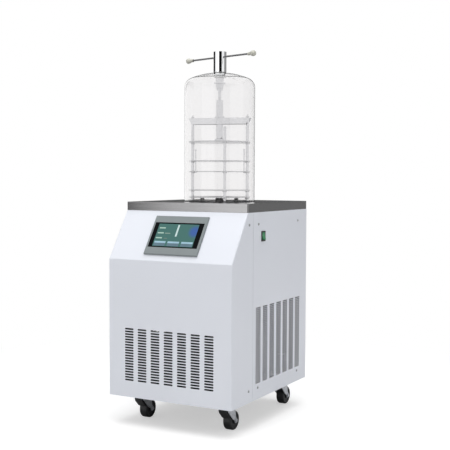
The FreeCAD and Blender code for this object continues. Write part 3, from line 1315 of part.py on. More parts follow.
def condenser():
    """Finned condenser block with level tubes in a pressed frame."""
    half = CONDENSER_W / 2
    t = CONDENSER_FRAME_T
    parts = [box(-half, half, CONDENSER_FRONT, CONDENSER_BACK, PAN_FLOOR, PAN_FLOOR + t),
             box(-half, half, CONDENSER_FRONT, CONDENSER_BACK, CONDENSER_TOP - t, CONDENSER_TOP),
             box(-half, t - half, CONDENSER_FRONT, CONDENSER_BACK, PAN_FLOOR, CONDENSER_TOP),
             box(half - t, half, CONDENSER_FRONT, CONDENSER_BACK, PAN_FLOOR, CONDENSER_TOP)]
    pitch = CONDENSER_W / (CONDENSER_FINS + 1)
    for number in range(1, CONDENSER_FINS + 1):
        x = -half + number * pitch
        parts.append(box(x - FIN_T / 2, x + FIN_T / 2, CONDENSER_FRONT + t, CONDENSER_BACK - t,
                         PAN_FLOOR + t, CONDENSER_TOP - t))
    middle = (CONDENSER_FRONT + CONDENSER_BACK) / 2
    for number in range(CONDENSER_TUBES):
        z = PAN_FLOOR + CONDENSER_H * (number + 0.5) / CONDENSER_TUBES
        parts.append(rod(CONDENSER_TUBE_R, V(-half, middle, z), V(half, middle, z)))
    return fuse(parts)


def fan_shroud():
    """Fan plate with its ring and the three arms that hold the motor."""
    plate = box(-CONDENSER_W / 2, CONDENSER_W / 2, CONDENSER_BACK, CONDENSER_BACK + CONDENSER_FRAME_T,
                PAN_FLOOR, CONDENSER_TOP)
    eye = V(0, CONDENSER_BACK, FAN_Z)
    back = V(0, RING_BACK, FAN_Z)
    ring = rod(RING_R + FAN_RING_T, eye, back)
    hole = rod(RING_R, eye - Y, back + Y)
    outer = fuse([plate, ring]).cut(hole)
    clamp = tube(MOTOR_R + FAN_RING_T, MOTOR_R, back - Y * MOTOR_ARM_T, back)
    arms = []
    for number in range(MOTOR_ARMS):
        arm = box(-MOTOR_ARM_W / 2, MOTOR_ARM_W / 2, RING_BACK - MOTOR_ARM_T, RING_BACK,
                  FAN_Z + MOTOR_R + FAN_RING_T / 2, FAN_Z + RING_R + FAN_RING_T / 2)
        arm.rotate(eye, Y, 360 * number / MOTOR_ARMS)
        arms.append(arm)
    return fuse([outer, clamp] + arms)


def fan_motor():
    """Motor can with a bore for the fan's shaft."""
    front = V(0, RING_BACK - MOTOR_ARM_T, FAN_Z)
    can = rod(MOTOR_R, front, front + Y * MOTOR_LENGTH)
    rims = [e for e in can.Edges if e.Closed and e.CenterOfMass.y > front.y + 1]
    can = can.makeFillet(MOTOR_EDGE, rims)
    return can.cut(rod(FAN_SHAFT_R + RUNNING, front - Y, front + Y * MOTOR_SHAFT_HOLE))


def fan_rotor():
    """Five-bladed rotor with its shaft."""
    back = RING_BACK - MOTOR_ARM_T - MOTOR_GAP
    front = V(0, back - FAN_HUB_T, FAN_Z)
    hub = rod(FAN_HUB_R, front, V(0, back, FAN_Z))
    shaft = rod(FAN_SHAFT_R, V(0, back, FAN_Z), V(0, back + MOTOR_GAP + FAN_SHAFT_SINK, FAN_Z))
    middle = V(0, back - FAN_HUB_T / 2, FAN_Z)
    chord = (FAN_HUB_T - 1) / math.sin(math.radians(FAN_BLADE_PITCH))
    disc = rod(FAN_R, front - Y * 2, V(0, back + 2, FAN_Z))
    blades = []
    for number in range(FAN_BLADES):
        blade = box(-chord / 2, chord / 2, -FAN_BLADE_T / 2, FAN_BLADE_T / 2, FAN_HUB_R - 3, FAN_R + 5)
        blade.rotate(V(0, 0, 0), Z, FAN_BLADE_PITCH)
        blade.translate(middle)
        blade.rotate(middle, Y, 360 * number / FAN_BLADES)
        blades.append(blade.common(disc))
    return fuse([hub, shaft] + blades)


def refrigerant_lines():
    """Copper lines: suction and discharge at the compressor, liquid line with its drier."""
    inner = LINE_R - LINE_WALL
    at = COMPRESSOR_AT
    front_y = (CONDENSER_FRONT + CONDENSER_BACK) / 2
    start_x = COIL_R + COIL_STUB + LOOSE
    level = COMPRESSOR_TOP + SUCTION_LIFT
    near_x = at.x + SUCTION_OFFSET
    suction = bent_tube([V(start_x, AXIS_Y, COIL_TOP), V(SUCTION_REACH, AXIS_Y, COIL_TOP),
                         V(SUCTION_REACH, AXIS_Y, level), V(SUCTION_REACH, at.y, level),
                         V(near_x, at.y, level), V(near_x, at.y, COMPRESSOR_TOP)], LINE_R, inner, LINE_BEND)
    level = COMPRESSOR_TOP + LINE_LIFT
    far_x = at.x - SUCTION_OFFSET
    discharge = bent_tube([V(far_x, at.y, COMPRESSOR_TOP), V(far_x, at.y, level),
                           V(far_x, front_y, level), V(far_x, front_y, CONDENSER_TOP)],
                          LINE_R, inner, LINE_BEND)
    level = COMPRESSOR_TOP + LIQUID_LEVEL
    liquid = bent_tube([V(start_x, AXIS_Y, COIL_LOW), V(LIQUID_REACH, AXIS_Y, COIL_LOW),
                        V(LIQUID_REACH, AXIS_Y, level), V(LIQUID_REACH, front_y, level),
                        V(LIQUID_OFFSET, front_y, level), V(LIQUID_OFFSET, front_y, CONDENSER_TOP)],
                       LINE_R, inner, LINE_BEND)
    middle = V(LIQUID_OFFSET, front_y, (CONDENSER_TOP + level) / 2)
    drier = tube(DRIER_R, LINE_R, middle - Z * (DRIER_LENGTH / 2), middle + Z * (DRIER_LENGTH / 2))
    return Part.makeCompound([suction, discharge, fuse([liquid, drier])])


def control_box():
    """Closed sheet-metal box for the control board, on the pan's floor."""
    x = CONTROL_LEFT
    y = FRONT + CONTROL_SETBACK
    top = PAN_FLOOR + CONTROL_H
    body = box(x, x + CONTROL_W, y, y + CONTROL_D, PAN_FLOOR, top)
    inside = box(x + SHEET, x + CONTROL_W - SHEET, y + SHEET, y + CONTROL_D - SHEET,
                 PAN_FLOOR + SHEET, top - SHEET)
    return body.makeFillet(SHEET, body.Edges).cut(inside)


# ---- write every piece -----------------------------------------------------------------------
def main():
    """Build and save all the pieces."""
    os.makedirs("parts", exist_ok=True)
    save("front_cover", front_cover())
    save("right_side_panel", side_panel(1))
    save("left_side_panel", side_panel(-1))
    save("back_panel", back_panel())
    save("base_pan", base_pan())
    save("frame", frame())
    save("cover_screws", cover_screws())
    save("deck_plate", deck_plate())
    save("screen_bezel", screen_bezel())
    save("screen_glass", screen_glass())
    save("screen_housing", screen_housing())
    save("switch_frame", switch_frame())
    save("switch_rocker", switch_rocker())
    places = caster_places()
    save("caster_plates", Part.makeCompound([caster_plate(place) for place in places.values()]))
    for name, place in places.items():
        braked = name.startswith("front")
        save("fork_" + name, fork(place, braked))
        save("wheel_" + name, wheel(place))
        if braked:
            save("pedal_" + name, pedal(place))
    save("cold_trap", cold_trap())
    save("trap_insulation", trap_insulation())
    save("trap_coil", trap_coil())
    save("trap_baffle", trap_baffle())
    save("vacuum_port", vacuum_port())
    save("drain_valve", drain_valve())
    save("drain_lever", drain_lever())
    save("power_inlet", power_inlet())
    save("acrylic_jar", acrylic_jar())
    save("jar_seals", jar_seals())
    save("gland_body", gland_body())
    save("gland_nut", gland_nut())
    save("handle_hub", handle_hub())
    save("t_bar", t_bar())
    save("bar_knobs", Part.makeCompound([knob(-1), knob(1)]))
    save("drive_rod", drive_rod())
    save("press_screw", press_screw())
    save("press_foot", press_foot())
    save("beam_nut", beam_nut())
    save("head_beam", head_beam())
    save("rack_rods", rack_rods())
    save("post_nuts", post_nuts())
    save("press_plate", shelf(PRESS_PLATE_H, PRESS_PLATE_T, RUNNING))
    save("shelf_2", shelf(SHELF_2_H, SHELF_T, RUNNING, link_hole=LINK_R + LOOSE))
    save("shelf_3", shelf(SHELF_3_H, SHELF_T, RUNNING, link_hole=LINK_R))
    save("shelf_4", shelf(SHELF_4_H, SHELF_T, 0.0))
    save("rack_base", shelf(RACK_BASE_H, SHELF_T, 0.0, window=BASE_WINDOW_R))
    save("shelf_links", shelf_links())
    save("rack_feet", rack_feet())
    save("compressor", compressor())
    save("condenser", condenser())
    save("fan_shroud", fan_shroud())
    save("fan_motor", fan_motor())
    save("fan_rotor", fan_rotor())
    save("refrigerant_lines", refrigerant_lines())
    save("control_box", control_box())


main()
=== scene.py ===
"""Looks of a floor-standing freeze dryer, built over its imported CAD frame.

Each operator dresses one piece or one group of like pieces: it models what needs a finer shape,
gives every part its finish and lets it ride on the body that the CAD names.  Metres; +X is to the
right seen from the front, +Y to the rear, +Z up.
"""

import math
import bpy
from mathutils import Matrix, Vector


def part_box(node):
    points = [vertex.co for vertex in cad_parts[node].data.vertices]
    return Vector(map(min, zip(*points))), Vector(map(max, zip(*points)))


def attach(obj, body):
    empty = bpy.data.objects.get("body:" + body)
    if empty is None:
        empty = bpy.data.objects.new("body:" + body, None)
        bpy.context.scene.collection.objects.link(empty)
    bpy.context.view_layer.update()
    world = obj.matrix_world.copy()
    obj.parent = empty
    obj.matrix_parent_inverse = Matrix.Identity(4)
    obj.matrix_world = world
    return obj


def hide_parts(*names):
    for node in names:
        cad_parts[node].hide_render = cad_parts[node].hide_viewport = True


bl_info = {
    "name": "Freeze Dryer",
    "version": (1, 0, 0),
    "blender": (4, 5, 0),
    "location": "3D View > Sidebar > Freeze Dryer",
    "description": "Models and finishes the pieces of a floor-standing freeze dryer",
    "category": "Object",
}

import bmesh
import bpy
from bpy.props import FloatProperty, FloatVectorProperty, IntProperty, PointerProperty
from mathutils import Matrix, Vector

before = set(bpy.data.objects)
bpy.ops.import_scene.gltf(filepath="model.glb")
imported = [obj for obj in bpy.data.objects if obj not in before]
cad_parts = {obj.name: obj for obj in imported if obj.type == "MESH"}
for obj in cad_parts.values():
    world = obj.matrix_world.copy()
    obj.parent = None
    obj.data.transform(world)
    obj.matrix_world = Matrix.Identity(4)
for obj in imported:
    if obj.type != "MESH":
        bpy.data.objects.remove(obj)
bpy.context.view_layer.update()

# ---- places taken from the frame -------------------------------------------------------------
DECK_LOW, DECK_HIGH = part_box("deck_plate")
DECK = DECK_HIGH.z
AXIS = Vector((0.0, (DECK_LOW.y + DECK_HIGH.y) / 2, 0.0))
UP = Vector((0.0, 0.0, 1.0))
CASTERS = ("front_left", "front_right", "rear_left", "rear_right")
PANELS = ("front_cover", "right_side_panel", "left_side_panel", "back_panel")

# ---- measures that several pieces share --------------------------------------------------------
SHARP = math.radians(35.0)      # edges that turn by more than this are rounded
UPWARD = 0.9                    # a face whose normal rises more than this looks up
TURNED_EASE = 0.0006            # eased corners of the jar and its rings
MERGE = 1e-6                    # places nearer than this become one
SLIVER = 1e-7                   # faces thinner than this go
FOLD = 0.572                    # height of the cover's fold under the slope
SPINDLE_R = 0.005               # round part of the spindle
JET = (0.012, 0.012, 0.013)     # black coatings and sleeves
PITCH = (0.010, 0.010, 0.011)   # black enamel and mouldings
NOISE_RANGE = (0.3, 0.7)        # levels between which a noise mostly lies


def radius_of(node):
    """Largest radius of a round node about a vertical axis."""
    low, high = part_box(node)
    return (high.x - low.x) / 2


def heights(node):
    """Lowest and highest place of a node."""
    low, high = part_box(node)
    return low.z, high.z


def colour(name, description, default):
    """A colour property with its default."""
    return FloatVectorProperty(name=name, description=description, subtype="COLOR", size=3,
                               min=0.0, max=1.0, default=default)


def length(name, description, default):
    """A length property in metres."""
    return FloatProperty(name=name, description=description, unit="LENGTH", min=0.0,
                         default=default)


def turned(name, description, degrees):
    """An angle property, its default given in degrees."""
    return FloatProperty(name=name, description=description, subtype="ANGLE",
                         default=math.radians(degrees))


def power(name, description, watts):
    """The power of a light."""
    return FloatProperty(name=name, description=description, unit="POWER", default=watts)


class DryerColours(bpy.types.PropertyGroup):
    """Colours of the finishes."""

    powder: colour("Cabinet", "Powder coat of the cover and panels", (0.775, 0.80, 0.862))
    steel: colour("Deck", "Brushed stainless deck", (0.345, 0.343, 0.347))
    rack: colour("Rack", "Polished stainless of the rack", (0.78, 0.785, 0.80))
    chrome: colour("Chrome", "Plating of the handle hub and bar", (0.84, 0.85, 0.86))
    bar: colour("Bar", "Satin steel of the cross bar", (0.20, 0.20, 0.205))
    zinc: colour("Zinc", "Zinc plating of the caster forks", (0.54, 0.555, 0.59))
    bezel: colour("Bezel", "Frame of the touch screen", (0.215, 0.242, 0.248))
    ivory: colour("Knobs", "Ivory plastic of the bar's knobs", (0.52, 0.515, 0.455))
    acrylic: colour("Jar", "Clear acrylic of the jar", (0.935, 0.93, 0.932))
    tread: colour("Tread", "Rubber of the caster wheels", (0.012, 0.012, 0.014))
    rocker: colour("Rocker", "Green lens of the switch", (0.03, 0.16, 0.07))
    copper: colour("Copper", "Refrigerant tube", (0.55, 0.24, 0.13))
    foam: colour("Foam", "Insulation of the cold trap", (0.68, 0.58, 0.34))
    screen_ground: colour("Screen", "Ground of the display", (0.062, 0.166, 0.150))
    screen_patch: colour("Patch", "Blue patch of the display", (0.05, 0.12, 0.37))
    screen_mark: colour("Marks", "Pale bars of the display", (0.44, 0.62, 0.53))
    screen_button: colour("Buttons", "Upper half of the display's buttons", (0.36, 0.56, 0.67))
    screen_shade: colour("Shade", "Lower half of the display's buttons", (0.125, 0.20, 0.25))


class DryerSizes(bpy.types.PropertyGroup):
    """Sizes of the details."""

    edge: length("Edge", "Rounding of sheet and machined edges", 0.0006)
    soft_edge: length("Soft edge", "Rounding of moulded edges", 0.0012)
    jar_wall: length("Jar wall", "Thickness of the jar", 0.006)
    jar_dish: length("Jar dish", "Radius of the jar's crown", 0.28)
    jar_knuckle: length("Jar knuckle", "Radius between the crown and the wall", 0.035)
    tread_round: length("Tread rounding", "Radius of the wheel's shoulders", 0.005)
    turned_steps: IntProperty(name="Steps", description="Faces round a turned piece",
                              min=12, max=192, default=72)


class DryerStage(bpy.types.PropertyGroup):
    """Camera and light."""

    lens: FloatProperty(name="Lens", description="Focal length of the camera", unit="CAMERA",
                        min=10.0, max=300.0, default=73.71)
    camera: FloatVectorProperty(name="Camera", description="Place of the camera", size=3,
                                unit="LENGTH", default=(1.620, -2.9005, 0.854))
    heading: turned("Heading", "Turn of the camera from the rear direction", 28.56)
    pitch: turned("Pitch", "Tilt of the camera below level", 3.0)
    roll: turned("Roll", "Roll of the camera", 0.22)
    key: power("Key", "Power of the overhead soft light", 98.5)
    fill: power("Fill", "Power of the front soft light", 26.0)
    side: power("Side", "Power of the soft light at the right", 16.0)
    room: FloatProperty(name="Room", description="Strength of the room's light", default=0.465)


class DryerStep:
    """What the operators share."""

    bl_options = {"REGISTER", "UNDO"}


# ---- modelling ---------------------------------------------------------------------------------
def deselect():
    """Leave object mode with nothing selected."""
    if bpy.context.object and bpy.context.object.mode != "OBJECT":
        bpy.ops.object.mode_set(mode="OBJECT")
    bpy.ops.object.select_all(action="DESELECT")


def only(obj):
    """Select one object and make it the active one."""
    deselect()
    obj.select_set(True)
    bpy.context.view_layer.objects.active = obj


def settle(obj):
    """Move the object's place into its mesh."""
    only(obj)
    bpy.ops.object.transform_apply(location=True, rotation=True, scale=True)


def rounded(obj, width, segments=2):
    """Round the sharp edges and smooth the rest."""
    only(obj)
    if width > 0:
        bpy.ops.object.modifier_add(type="BEVEL")
        bevel = obj.modifiers[-1]
        bevel.width = width
        bevel.segments = segments
        bevel.limit_method = "ANGLE"
        bevel.angle_limit = SHARP
        bpy.ops.object.modifier_apply(modifier=bevel.name)
    bpy.ops.object.shade_smooth_by_angle(angle=SHARP)
    bpy.ops.object.modifier_add(type="WEIGHTED_NORMAL")
    weighted = obj.modifiers[-1]
    weighted.weight = 100
    weighted.keep_sharp = True
    bpy.ops.object.modifier_apply(modifier=weighted.name)
    return obj


def rod(radius, low, high):
    """Outline of a plain solid rod."""
    return [(0, low), (radius, low), (radius, high), (0, high)]


def hollow(bore, outer, low, high):
    """Outline of a plain ring or bush."""
    return [(bore, low), (outer, low), (outer, high), (bore, high), (bore, low)]


def flanged(bore, barrel, flange, low, step, high):
    """Outline of a bored barrel with a flange round its top."""
    return [(bore, low), (barrel, low), (barrel, step), (flange, step), (flange, high),
            (bore, high), (bore, low)]


def arc(centre_r, centre_z, radius, start, end, steps):
    """Places on an arc, angles measured from straight up."""
    angles = [start + (end - start) * step / steps for step in range(steps + 1)]
    return [(centre_r + radius * math.sin(angle), centre_z + radius * math.cos(angle))
            for angle in angles]


def lathe(name, outline, origin=AXIS, direction=UP, steps=None, edge=0.0):
    """Turn an outline of (radius, height) places into a closed piece about a direction."""
    steps = steps or bpy.context.scene.dryer_sizes.turned_steps
    deselect()
    bpy.ops.mesh.primitive_plane_add(size=0.001, location=(0, 0, 0))
    obj = bpy.context.object
    obj.name = name
    bpy.ops.object.mode_set(mode="EDIT")
    bpy.ops.mesh.select_all(action="SELECT")
    bpy.ops.mesh.merge(type="CENTER")
    radius, height = outline[0]
    bpy.ops.transform.translate(value=(radius, 0, height))
    for (r0, z0), (r1, z1) in zip(outline, outline[1:]):
        bpy.ops.mesh.extrude_region_move(TRANSFORM_OT_translate={"value": (r1 - r0, 0, z1 - z0)})
    bpy.ops.mesh.select_all(action="SELECT")
    bpy.ops.mesh.spin(steps=steps, angle=math.tau, center=(0, 0, 0), axis=(0, 0, 1))
    bpy.ops.mesh.select_all(action="SELECT")
    bpy.ops.mesh.remove_doubles(threshold=MERGE)
    bpy.ops.mesh.dissolve_degenerate(threshold=SLIVER)
    bpy.ops.mesh.select_all(action="SELECT")
    bpy.ops.mesh.normals_make_consistent(inside=False)
    bpy.ops.object.mode_set(mode="OBJECT")
    turn = UP.rotation_difference(Vector(direction)).to_matrix().to_4x4()
    obj.matrix_world = Matrix.Translation(Vector(origin)) @ turn
    settle(obj)
    return rounded(obj, edge)


def block(name, low, high, edge=0.0):
    """A block between two corners with rounded edges."""
    low, high = Vector(low), Vector(high)
    deselect()
    bpy.ops.mesh.primitive_cube_add(size=1.0, location=(low + high) / 2)
    obj = bpy.context.object
    obj.name = name
    obj.scale = high - low
    settle(obj)
    return rounded(obj, edge) if edge else obj


def joined(name, pieces):
    """One object from several closed ones."""
    deselect()
    for piece in pieces:
        piece.select_set(True)
    bpy.context.view_layer.objects.active = pieces[0]
    bpy.ops.object.join()
    obj = bpy.context.object
    obj.name = name
    return obj


def bored(obj, cutters):
    """Cut other closed pieces out of this one."""
    for cutter in cutters:
        only(obj)
        bpy.ops.object.modifier_add(type="BOOLEAN")
        cut = obj.modifiers[-1]
        cut.operation = "DIFFERENCE"
        cut.solver = "EXACT"
        cut.object = cutter
        bpy.ops.object.modifier_apply(modifier=cut.name)
        bpy.data.objects.remove(cutter)


def pin(radius, start, end, steps=32):
    """A plain round cutter between two places."""
    run = end - start
    return lathe("cutter", rod(radius, 0, run.length), start, run, steps)


def square_bar(name, half, low, high, edge=0.0):
    """A square bar on the jar's axis between two heights."""
    return block(name, (-half, AXIS.y - half, low), (half, AXIS.y + half, high), edge)


def refined(node, name, edge, segments=2):
    """A merged copy of a CAD node with rounded edges, which stands for it."""
    deselect()
    obj = bpy.data.objects.new(name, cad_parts[node].data.copy())
    bpy.context.scene.collection.objects.link(obj)
    only(obj)
    bpy.ops.object.mode_set(mode="EDIT")
    bpy.ops.mesh.select_all(action="SELECT")
    bpy.ops.mesh.customdata_custom_splitnormals_clear()
    bpy.ops.mesh.remove_doubles(threshold=2 * MERGE)
    bpy.ops.mesh.dissolve_limited(angle_limit=math.radians(1.0))
    bpy.ops.object.mode_set(mode="OBJECT")
    return rounded(obj, edge, segments)


def paint(obj, material):
    """Give an object, or the CAD node of that name, its one material."""
    if isinstance(obj, str):
        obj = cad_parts[obj]
    obj.data.materials.clear()
    obj.data.materials.append(material)


def finish_piece(obj, body, slot, material, *nodes):
    """Ride, material and the CAD nodes that the piece stands for; the slot is not used."""
    paint(obj, material)
    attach(obj, body)
    if nodes:
        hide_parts(*nodes)


def dress(node, name, edge, body, slot, material, segments=2):
    """Put a refined copy of a CAD node in its place."""
    finish_piece(refined(node, name, edge, segments), body, slot, material, node)


# ---- shader nodes ------------------------------------------------------------------------------
def levels(node, **values):
    """Set a node's sockets, named with _ for a space."""
    for name, value in values.items():
        node.inputs[name.replace("_", " ")].default_value = value
    return node


def add(tree, kind, operation=None, **values):
    """A new shader node with its operation and its sockets' values."""
    node = tree.nodes.new("ShaderNode" + kind)
    if operation:
        node.operation = operation
    return levels(node, **values)


def wire(tree, *links):
    """Link nodes: (node, output, node, input) each."""
    for source, output, target, socket in links:
        tree.links.new(source.outputs[output], target.inputs[socket])


def shared_group(name, inputs, outputs):
    """A new node group with its sockets, and its input and output nodes."""
    tree = bpy.data.node_groups.new(name, "ShaderNodeTree")
    for way, sockets in (("INPUT", inputs), ("OUTPUT", outputs)):
        for label, default in sockets.items():
            kind = "NodeSocketFloat" if isinstance(default, float) else "NodeSocketVector"
            socket = tree.interface.new_socket(name=label, socket_type=kind, in_out=way)
            if default is not None:
                socket.default_value = default
    return tree, tree.nodes.new("NodeGroupInput"), tree.nodes.new("NodeGroupOutput")


def grain_group():
    """Fine isotropic grain: a mask, broad patches and a normal."""
    name = "Fine grain"
    if name in bpy.data.node_groups:
        return bpy.data.node_groups[name]
    tree, into, out = shared_group(
        name, {"Vector": None, "Scale": 800.0, "Patch Scale": 6.0, "Bump": 0.1, "Depth": 0.0002},
        {"Grain": 0.0, "Patches": 0.0, "Normal": None})
    fine = add(tree, "TexNoise", Detail=3.0)
    broad = add(tree, "TexNoise", Detail=2.0)
    bump = add(tree, "Bump")
    wire(tree, (into, "Vector", fine, "Vector"), (into, "Vector", broad, "Vector"),
         (into, "Scale", fine, "Scale"), (into, "Patch Scale", broad, "Scale"),
         (into, "Bump", bump, "Strength"), (into, "Depth", bump, "Distance"),
         (fine, "Fac", bump, "Height"), (fine, "Fac", out, "Grain"),
         (broad, "Fac", out, "Patches"), (bump, "Normal", out, "Normal"))
    return tree


def brushed_group():
    """Drawn-out lines of a brushed or turned metal."""
    name = "Brushed lines"
    if name in bpy.data.node_groups:
        return bpy.data.node_groups[name]
    tree, into, out = shared_group(
        name, {"Vector": None, "Stretch": (4.0, 900.0, 900.0), "Bump": 0.15},
        {"Lines": 0.0, "Patches": 0.0, "Normal": None})
    stretch = add(tree, "VectorMath", "MULTIPLY")
    lines = add(tree, "TexNoise", Scale=1.0, Detail=2.0)
    broad = add(tree, "TexNoise", Scale=9.0)
    bump = add(tree, "Bump", Distance=0.0001)
    wire(tree, (into, "Vector", stretch, 0), (into, "Stretch", stretch, 1),
         (stretch, "Vector", lines, "Vector"), (into, "Vector", broad, "Vector"),
         (into, "Bump", bump, "Strength"), (lines, "Fac", bump, "Height"),
         (lines, "Fac", out, "Lines"), (broad, "Fac", out, "Patches"),
         (bump, "Normal", out, "Normal"))
    return tree


def spread(tree, mask, low, high):
    """A value that follows a mask between two levels."""
    least, most = NOISE_RANGE
    node = add(tree, "MapRange", From_Min=least, From_Max=most, To_Min=low, To_Max=high)
    tree.links.new(mask, node.inputs["Value"])
    return node.outputs["Result"]


def blend_colours(tree, mask, first, second):
    """A colour that follows a mask between two colours."""
    node = add(tree, "Mix")
    node.data_type = "RGBA"
    levels(node, A=(*first, 1.0), B=(*second, 1.0))
    tree.links.new(mask, node.inputs["Factor"])
    return node.outputs["Result"]


def shaded(base, share):
    """A colour made lighter or darker by a share."""
    return tuple(min(1.0, channel * share) for channel in base)


def drifting(tree, mask, base, darkest, lightest):
    """A colour that drifts between two shares of its brightness with a mask."""
    return blend_colours(tree, spread(tree, mask, 0.0, 1.0), shaded(base, darkest),
                         shaded(base, lightest))


def fade(tree, place, centre, near, far):
    """A mask that rises smoothly from 0 to 1 with the distance from a place."""
    away = add(tree, "VectorMath", "DISTANCE")
    away.inputs[1].default_value = centre
    mask = add(tree, "MapRange", From_Min=near, From_Max=far)
    mask.interpolation_type = "SMOOTHSTEP"
    tree.links.new(place, away.inputs[0])
    tree.links.new(away.outputs["Value"], mask.inputs["Value"])
    return mask.outputs["Result"]


# ---- materials ---------------------------------------------------------------------------------
def start_material(name):
    """A material with its tree, its Principled shader and Object coordinates."""
    material = bpy.data.materials.new(name)
    material.use_nodes = True
    tree = material.node_tree
    return material, tree, tree.nodes["Principled BSDF"], add(tree, "TexCoord").outputs["Object"]


def place_group(tree, group, vector, **values):
    """Put a shared group in a material with its own values."""
    node = add(tree, "Group")
    node.node_tree = group
    tree.links.new(vector, node.inputs["Vector"])
    return levels(node, **values).outputs


def textured(tree, shader, tone, polish, roughness, sheen, normal):
    """Lead a colour, a mask of the polish and a normal to a shader."""
    tree.links.new(tone, shader.inputs["Base Color"])
    tree.links.new(spread(tree, polish, roughness - sheen, roughness + sheen),
                   shader.inputs["Roughness"])
    tree.links.new(normal, shader.inputs["Normal"])


def grained(name, base, roughness, metallic=0.0, variation=0.05, sheen=0.05, scale=900.0,
            patches=6.0, bump=0.12, depth=0.0002, coat=0.0, specular=0.5):
    """Moulded, painted or cast finish with a fine grain."""
    material, tree, shader, place = start_material(name)
    grain = place_group(tree, grain_group(), place, Scale=scale, Patch_Scale=patches, Bump=bump,
                        Depth=depth)
    tone = drifting(tree, grain["Patches"], base, 1.0 - variation, 1.0 + variation)
    textured(tree, shader, tone, grain["Grain"], roughness, sheen, grain["Normal"])
    levels(shader, Metallic=metallic, Coat_Weight=coat, Specular_IOR_Level=specular)
    return material


def brushed(name, base, roughness, stretch, variation=0.08, sheen=0.06, bump=0.12, anisotropy=0.0):
    """Brushed, drawn or polished metal."""
    material, tree, shader, place = start_material(name)
    lines = place_group(tree, brushed_group(), place, Stretch=stretch, Bump=bump)
    tone = drifting(tree, lines["Lines"], base, 1.0 - variation, 1.0 + variation)
    textured(tree, shader, tone, lines["Patches"], roughness, sheen, lines["Normal"])
    levels(shader, Metallic=1.0, Anisotropic=anisotropy)
    return material


def clear_acrylic(name, base):
    """Clear moulded acrylic with faint waviness."""
    material, tree, shader, place = start_material(name)
    waves = place_group(tree, grain_group(), place, Scale=40.0, Patch_Scale=8.0)
    tree.links.new(spread(tree, waves["Patches"], 0.0, 0.012), shader.inputs["Roughness"])
    levels(shader, Base_Color=(*base, 1.0), Transmission_Weight=1.0, IOR=1.49)
    return material


def rocker_lens(name, base):
    """Coloured plastic lens with a weak lamp behind it."""
    material, tree, shader, place = start_material(name)
    grain = place_group(tree, grain_group(), place, Scale=500.0, Patch_Scale=60.0, Bump=0.03)
    tone = drifting(tree, grain["Patches"], base, 0.8, 1.5)
    tree.links.new(tone, shader.inputs["Base Color"])
    tree.links.new(tone, shader.inputs["Emission Color"])
    tree.links.new(grain["Normal"], shader.inputs["Normal"])
    levels(shader, Emission_Strength=0.35, Roughness=0.16, Coat_Weight=0.4)
    return material


def display_front(shader):
    """The dark glossy front that the lit display shines through."""
    levels(shader, Base_Color=(0.01, 0.012, 0.012, 1.0), Emission_Strength=1.0, Roughness=0.18,
           Specular_IOR_Level=0.06)


def lit(name, base):
    """One even colour of the display, lit from behind."""
    material, tree, shader, place = start_material(name)
    grain = place_group(tree, grain_group(), place, Scale=2600.0, Patch_Scale=40.0, Bump=0.0)
    tree.links.new(drifting(tree, grain["Patches"], base, 0.94, 1.06),
                   shader.inputs["Emission Color"])
    display_front(shader)
    return material


def lit_ground(name, ground, patch, centre, reach):
    """The display's ground, which turns to another colour round one place."""
    material, tree, shader, place = start_material(name)
    mask = fade(tree, place, centre, reach * 0.3, reach)
    tree.links.new(blend_colours(tree, mask, patch, ground), shader.inputs["Emission Color"])
    display_front(shader)
    return material


def painted_inner_shade(material, centre, inner_shade):
    """Paint shade on the faces that look towards a centre: a dark colour that stands in for the
    shade inside the cabinet.
    """
    tree = material.node_tree
    shader = tree.nodes["Principled BSDF"]
    outer = shader.inputs["Base Color"].links[0].from_socket
    place = add(tree, "TexCoord")
    away = add(tree, "VectorMath", "SUBTRACT")
    away.inputs[1].default_value = centre
    facing = add(tree, "VectorMath", "DOT_PRODUCT")
    inside = add(tree, "Math", "LESS_THAN")
    inside.inputs[1].default_value = 0.0
    choice = add(tree, "Mix")
    choice.data_type = "RGBA"
    levels(choice, B=(*inner_shade, 1.0))
    tree.links.new(outer, choice.inputs["A"])
    wire(tree, (place, "Object", away, 0), (away, "Vector", facing, 0),
         (place, "Normal", facing, 1), (facing, "Value", inside, 0),
         (inside, "Value", choice, "Factor"), (choice, "Result", shader, "Base Color"))


def matt(name, grey):
    """A plain matt grey for the stage."""
    material, tree, shader, place = start_material(name)
    levels(shader, Base_Color=(grey, grey, grey, 1.0), Roughness=1.0, Specular_IOR_Level=0.0)
    return material, tree, shader, place


# ---- cabinet -----------------------------------------------------------------------------------
class DRYER_OT_cabinet(DryerStep, bpy.types.Operator):
    """Finish the cover, the panels, the pan, the inner frame and the cover screws."""

    bl_idname = "dryer.cabinet"
    bl_label = "Cabinet"

    def execute(self, context):
        powder = grained("Powder coat", context.scene.dryer_colours.powder, 0.42, variation=0.012,
                         scale=1500.0, patches=3.0, bump=0.10, depth=0.00012, sheen=0.04)
        # painted shade: the cover's inner faces go near black so that the louvre slots look shaded
        painted_inner_shade(powder, AXIS + UP * sum(heights("front_cover")) / 2, (0.02, 0.021, 0.023))
        for node in PANELS:
            paint(node, powder)
        paint("base_pan", grained("Pan paint", (0.060, 0.062, 0.066), 0.5, variation=0.08))
        paint("frame", grained("Inner frame paint", (0.022, 0.023, 0.025), 0.48, variation=0.12))
        steel = brushed("Screw steel", (0.46, 0.47, 0.48), 0.34, (600.0, 600.0, 600.0))
        dress("cover_screws", "cover_screw_heads", context.scene.dryer_sizes.edge * 0.3, "cabinet",
              "screw_steel", steel)
        return {"FINISHED"}


class DRYER_OT_deck(DryerStep, bpy.types.Operator):
    """Model the folded stainless deck with eased folds."""

    bl_idname = "dryer.deck"
    bl_label = "Deck"

    def execute(self, context):
        steel = brushed("Brushed deck", context.scene.dryer_colours.steel, 0.17,
                        (3.0, 1100.0, 1400.0), variation=0.09, sheen=0.03, bump=0.03,
                        anisotropy=0.3)
        dress("deck_plate", "deck_sheet", context.scene.dryer_sizes.edge * 1.5, "cabinet",
              "steel_sheet", steel, segments=3)
        return {"FINISHED"}


